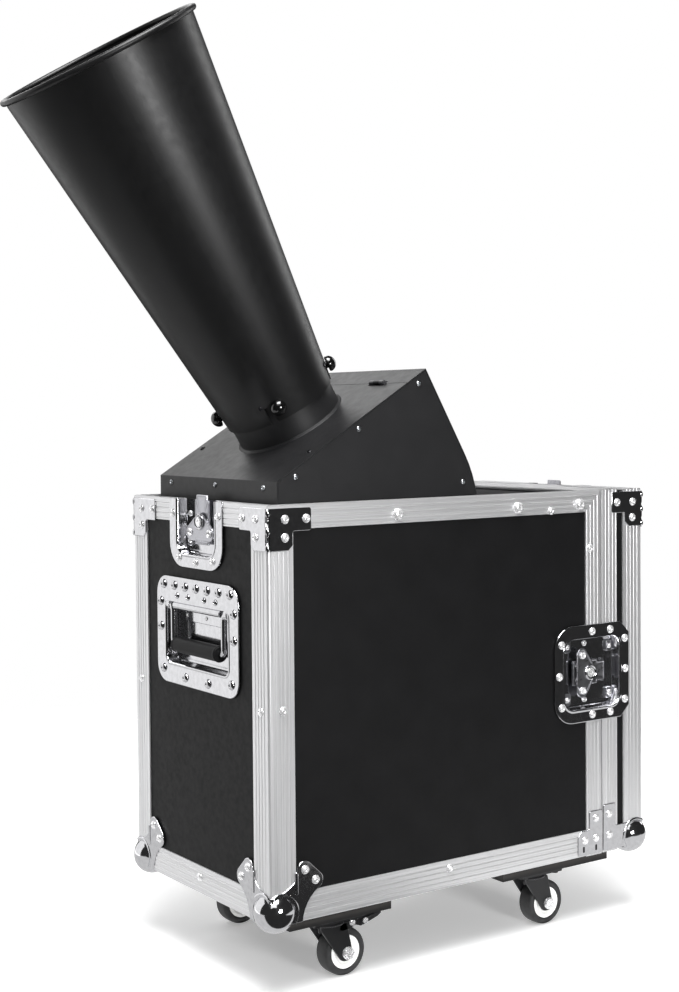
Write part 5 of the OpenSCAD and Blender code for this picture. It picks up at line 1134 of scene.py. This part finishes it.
class BlowerCasters(bpy.types.Operator):
    """Swivel casters: forks, wheels and brake pedals"""

    bl_idname = "blower.casters"
    bl_label = "Casters"

    def execute(self, context):
        for x, right, braked in zip(SWIVEL_X, ("left", "right"), (True, False)):
            for y, near in zip(SWIVEL_Y, ("near", "far")):
                at, word = moved(CASE, x, y), f"{near}_{right}"
                fork, wheel = "fork_" + word, "wheel_" + word
                piece("pressed_" + fork, fork_parts(at, braked), fork, (fork,))
                piece("tyred_" + wheel, wheel_parts(at), wheel, (wheel,))
                if braked:
                    brake = "brake_" + near
                    piece("brake_pedal_" + near, pedal_parts(at), brake, (brake,))
        return {"FINISHED"}


# CAD nodes that keep their shape

CAD_FINISH = {
    "laminate": ("side_panels", "left_end_panel", "door_panels", "floor_panel"),
    "plank": ("caster_planks",),
    "caster_steel": ("caster_plates", "hatch_hinges"),
    "black_sheet": ("chassis", "hood_cover", "hood_sides", "hatch", "bay_deck", "control_panel"),
    "plain_sheet": ("hopper", "power_supply"),
    "brass": ("gas_nozzle",),
    "pipe_steel": ("gas_pipes", "solenoid_valve"),
    "board": ("control_board",),
    "black_plastic": ("panel_sockets",),
    "red_plastic": ("power_switch", "fire_button"),
}


class BlowerFinishes(bpy.types.Operator):
    """Finishes for every piece, and those of the CAD nodes that keep their shape"""

    bl_idname = "blower.finishes"
    bl_label = "Finishes"

    def execute(self, context):
        make_materials()
        for slot, names in CAD_FINISH.items():
            for name in names:
                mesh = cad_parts[name].data
                mesh.materials.clear()
                mesh.materials.append(MATERIALS[slot])
        return {"FINISHED"}


# Studio

# Each light's place, what it points at, its width and height in metres, its power and a few words on it
LIGHTS = {
    "overhead": ((-0.4, -0.66, 2.4), (0, 0, 0.2), (1.4, 1.4), 100.0, "the light overhead"),
    "left_bank": ((-1.05, 1.3, 0.72), (-0.1, 0, 0.44), (2.1, 1.85), 13.0, "the light by the left end"),
    "back_card": ((0.45, 2.6, 2.3), (0, 0, 0.5), (2.2, 1.0), 20.0, "the light above the back"),
    "right_rim": ((2.6, 0.6, 1.4), (0, 0, 0.5), (0.9, 2.2), 16.0, "the light behind the door"),
    "front_high": ((-1.2, -1.6, 2.1), (-0.1, -0.1, 0.3), (1.4, 1.0), 6.0, "the high light in front"),
    "slim_card": ((-0.05, -2.1, 0.62), (-0.2, -0.1, 0.8), (0.5, 0.5), 25.0, "the narrow light in front"),
    "floor_card": ((-0.42, 0.42, 0.003), (-0.42, 0.42, 1.0), (1.15, 1.15), 2.9, "the sheet on the floor"),
    "floor_right": ((0.5, -0.36, 0.003), (0.5, -0.36, 1.0), (0.7, 0.7), 1.2, "the sheet by the door"),
}


class BlowerStage(bpy.types.Operator):
    """Pale floor, white surroundings, soft lights and the camera"""

    bl_idname = "blower.stage"
    bl_label = "Studio"

    def execute(self, context):
        studio, scene = context.scene.blower_studio, context.scene
        scene.world = bpy.data.worlds.new("studio_air")
        scene.world.use_nodes = True
        air = scene.world.node_tree.nodes["Background"]
        air.inputs["Color"].default_value = linear(studio.air)
        air.inputs["Strength"].default_value = studio.air_strength
        self.floor()
        self.surround()
        for name, (where, towards, size, _, _) in LIGHTS.items():
            self.light(name, where, towards, size, getattr(studio, name))
        self.camera(scene)
        scene.view_settings.view_transform = "Standard"
        return {"FINISHED"}

    def floor(self):
        """Round sheet of matt paper about a centre near the object's middle: one polygon."""
        centre, radius, fade, count = (-0.3, -0.2), 1.8, 1.25, 72
        edge = np.insert(arc(np.linspace(0, 2 * np.pi, count, endpoint=False), radius, centre), 2, 0.0, axis=1)
        # Matt white paper: even, with the faintest mottle, thinning out to nothing at its edge
        tree, shader, where = finish("floor_paper", "matt_paper", ("#f3f3f3", "#f7f7f7"), ("noise", 300.0),
                                     Roughness=0.9, IOR=1.4, Emission_Color=(1, 1, 1, 1), Emission_Strength=0.3)
        about = node(tree, "Mapping", {"Location": (-centre[0], -centre[1], 0.0)}, Vector=where)
        reach = node(tree, "VectorMath", {"operation": "LENGTH"}, Vector=about.outputs["Vector"])
        ends = {"From Min": fade, "From Max": radius, "To Min": 1.0, "To Max": 0.0}
        solid = node(tree, "MapRange", {"interpolation_type": "SMOOTHSTEP", **ends},
                     Value=reach.outputs["Value"])
        tree.links.new(solid.outputs["Result"], shader.inputs["Alpha"])
        sheet = self.sheet("studio_floor", (edge, [list(range(count))]), MATERIALS["floor_paper"])
        sheet.visible_glossy = False

    def surround(self):
        """White sphere all round that only the camera sees, so that bright plate mirrors the lights alone."""
        b, radius = np.linspace(-np.pi / 2, np.pi / 2, 25), 11.0
        # Lit white paper far off: plain light with no shade on it
        made = bpy.data.materials.new("lit_paper")
        made.use_nodes = True
        tree = made.node_tree
        tree.nodes.clear()
        glow = node(tree, "Emission", {"Color": (1, 1, 1, 1), "Strength": 1.0})
        node(tree, "OutputMaterial", None, Surface=glow.outputs["Emission"])
        ball = self.sheet("studio_surround", lathe(arc(b, radius), 48), made)
        ball.visible_diffuse = ball.visible_glossy = ball.visible_transmission = ball.visible_shadow = False

    def sheet(self, name, shape, material):
        """One object of the studio."""
        mesh = bpy.data.meshes.new(name)
        mesh.from_pydata(shape[0].tolist(), [], shape[1])
        mesh.shade_smooth()
        mesh.materials.append(material)
        made = bpy.data.objects.new(name, mesh)
        bpy.context.scene.collection.objects.link(made)
        return made

    def light(self, name, where, towards, size, power):
        """One soft rectangular light."""
        data = bpy.data.lights.new(name, "AREA")
        data.shape, data.size, data.size_y, data.energy = "RECTANGLE", *size, power
        made = bpy.data.objects.new(name, data)
        made.location = where
        bpy.context.scene.collection.objects.link(made)
        made.visible_camera = False
        direction = np.array(towards, float) - np.array(where, float)
        made.rotation_euler = Vector(direction).to_track_quat("-Z", "Y").to_euler()

    def camera(self, scene):
        """The photograph's view: a place, a heading, a slight dip and roll, and the lens."""
        eye, yaw, pitch, roll = (-0.96612, -1.4244, 0.5814), 0.60689, 0.0305, -0.00794
        sensor, frame_height, focal = 36.0, 992.0, 1566.96
        ahead = np.array([math.sin(yaw) * math.cos(pitch), math.cos(yaw) * math.cos(pitch), -math.sin(pitch)])
        right = np.array([math.cos(yaw), -math.sin(yaw), 0.0])
        up = np.cross(right, ahead)
        right, up = right * math.cos(roll) + up * math.sin(roll), up * math.cos(roll) - right * math.sin(roll)
        data = bpy.data.cameras.new("photo_view")
        data.lens, data.sensor_width, data.shift_y = focal * sensor / frame_height, sensor, -0.0365
        data.clip_start, data.clip_end = 0.05, 60.0
        made = bpy.data.objects.new("photo_view", data)
        scene.collection.objects.link(made)
        made.matrix_world = Matrix([*zip(right, up, -ahead, eye), (0, 0, 0, 1)])
        scene.camera = made


# Settings and panel


def length(name, description, default, low, high):
    """A length that a user may change, in metres."""
    return bpy.props.FloatProperty(name=name, description=description, default=default, min=low, max=high,
                                   subtype="DISTANCE", unit="LENGTH")


def colour(name, description, *default):
    """A colour that a user may change, as sRGB."""
    return bpy.props.FloatVectorProperty(name=name, description=description, default=default, size=3, min=0,
                                         max=1, subtype="COLOR_GAMMA")


class BlowerCaseSizes(bpy.types.PropertyGroup):
    reed_depth: length("Reed depth", "Depth of the reeds in the extrusions", 0.00042, 0.0, 0.0012)
    rivet_radius: length("Rivet radius", "Radius of a rivet's head", 0.0046, 0.003, 0.006)
    rivet_height: length("Rivet height", "Height of a rivet's head", 0.0025, 0.001, 0.004)


class BlowerMachineSizes(bpy.types.PropertyGroup):
    bead_radius: length("Bead radius", "Radius of the rolled bead at the mouth", 0.0032, 0.002, 0.0032)
    knob_radius: length("Knob radius", "Radius of the clamping knobs", 0.0087, 0.006, 0.0087)
    weld_place: bpy.props.FloatProperty(name="Weld place", description="Where the barrel's seam runs round it",
                                        default=math.radians(150.0), subtype="ANGLE", unit="ROTATION")


class BlowerFinishColours(bpy.types.PropertyGroup):
    laminate: colour("Laminate", "Film on the case's panels", 0.055, 0.055, 0.058)
    aluminium: colour("Aluminium", "Anodised extrusions", 0.89, 0.89, 0.895)
    nickel: colour("Nickel", "Bright plated pressings", 0.86, 0.86, 0.87)
    latch: colour("Latch steel", "Plated latch parts", 0.74, 0.74, 0.76)
    powder: colour("Powder coat", "Hood and barrel", 0.09, 0.09, 0.094)
    caster: colour("Caster coat", "Forks and pedals", 0.09, 0.09, 0.095)


class BlowerStudioSettings(bpy.types.PropertyGroup):
    air: colour("Air", "Colour of the surrounding light", 0.8, 0.8, 0.8)
    air_strength: bpy.props.FloatProperty(name="Air strength", description="Strength of the surrounding light",
                                          default=0.05, min=0.0)
    __annotations__.update({name: bpy.props.FloatProperty(
        name=name.replace("_", " ").capitalize(), description="Power of " + words, default=power, min=0.0,
        unit="POWER") for name, (_, _, _, power, words) in LIGHTS.items()})


STEPS = ("finishes", "frame_bars", "door_bars", "ball_corners", "braces", "rivets", "bolts", "dishes",
         "latches", "handles", "barrel", "casters", "stage")


class BLOWER_PT_pieces(bpy.types.Panel):
    bl_label = "Confetti blower"
    bl_idname = "BLOWER_PT_pieces"
    bl_space_type = "VIEW_3D"
    bl_region_type = "UI"
    bl_category = "Blower"

    def draw(self, context):
        for group, kind in GROUPS.items():
            for name in kind.__annotations__:
                self.layout.prop(getattr(context.scene, group), name)
        for step in STEPS:
            self.layout.operator("blower." + step)


GROUPS = {"blower_case": BlowerCaseSizes, "blower_machine": BlowerMachineSizes,
          "blower_finishes": BlowerFinishColours, "blower_studio": BlowerStudioSettings}
CLASSES = (BlowerFinishes, BlowerFrameBars, BlowerDoorBars, BlowerBallCorners, BlowerBraces, BlowerRivets,
           BlowerBolts, BlowerDishes, BlowerLatches, BlowerHandles, BlowerBarrel, BlowerCasters, BlowerStage,
           BLOWER_PT_pieces)


def register():
    for group, kind in GROUPS.items():
        bpy.utils.register_class(kind)
        setattr(bpy.types.Scene, group, bpy.props.PointerProperty(type=kind))
    for kind in CLASSES:
        bpy.utils.register_class(kind)


def unregister():
    for kind in reversed(CLASSES):
        bpy.utils.unregister_class(kind)
    for group, kind in GROUPS.items():
        delattr(bpy.types.Scene, group)
        bpy.utils.unregister_class(kind)


def main():
    """Registers the add-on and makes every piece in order."""
    register()
    for step in STEPS:
        getattr(bpy.ops.blower, step)()


if __name__ == "__main__":
    main()
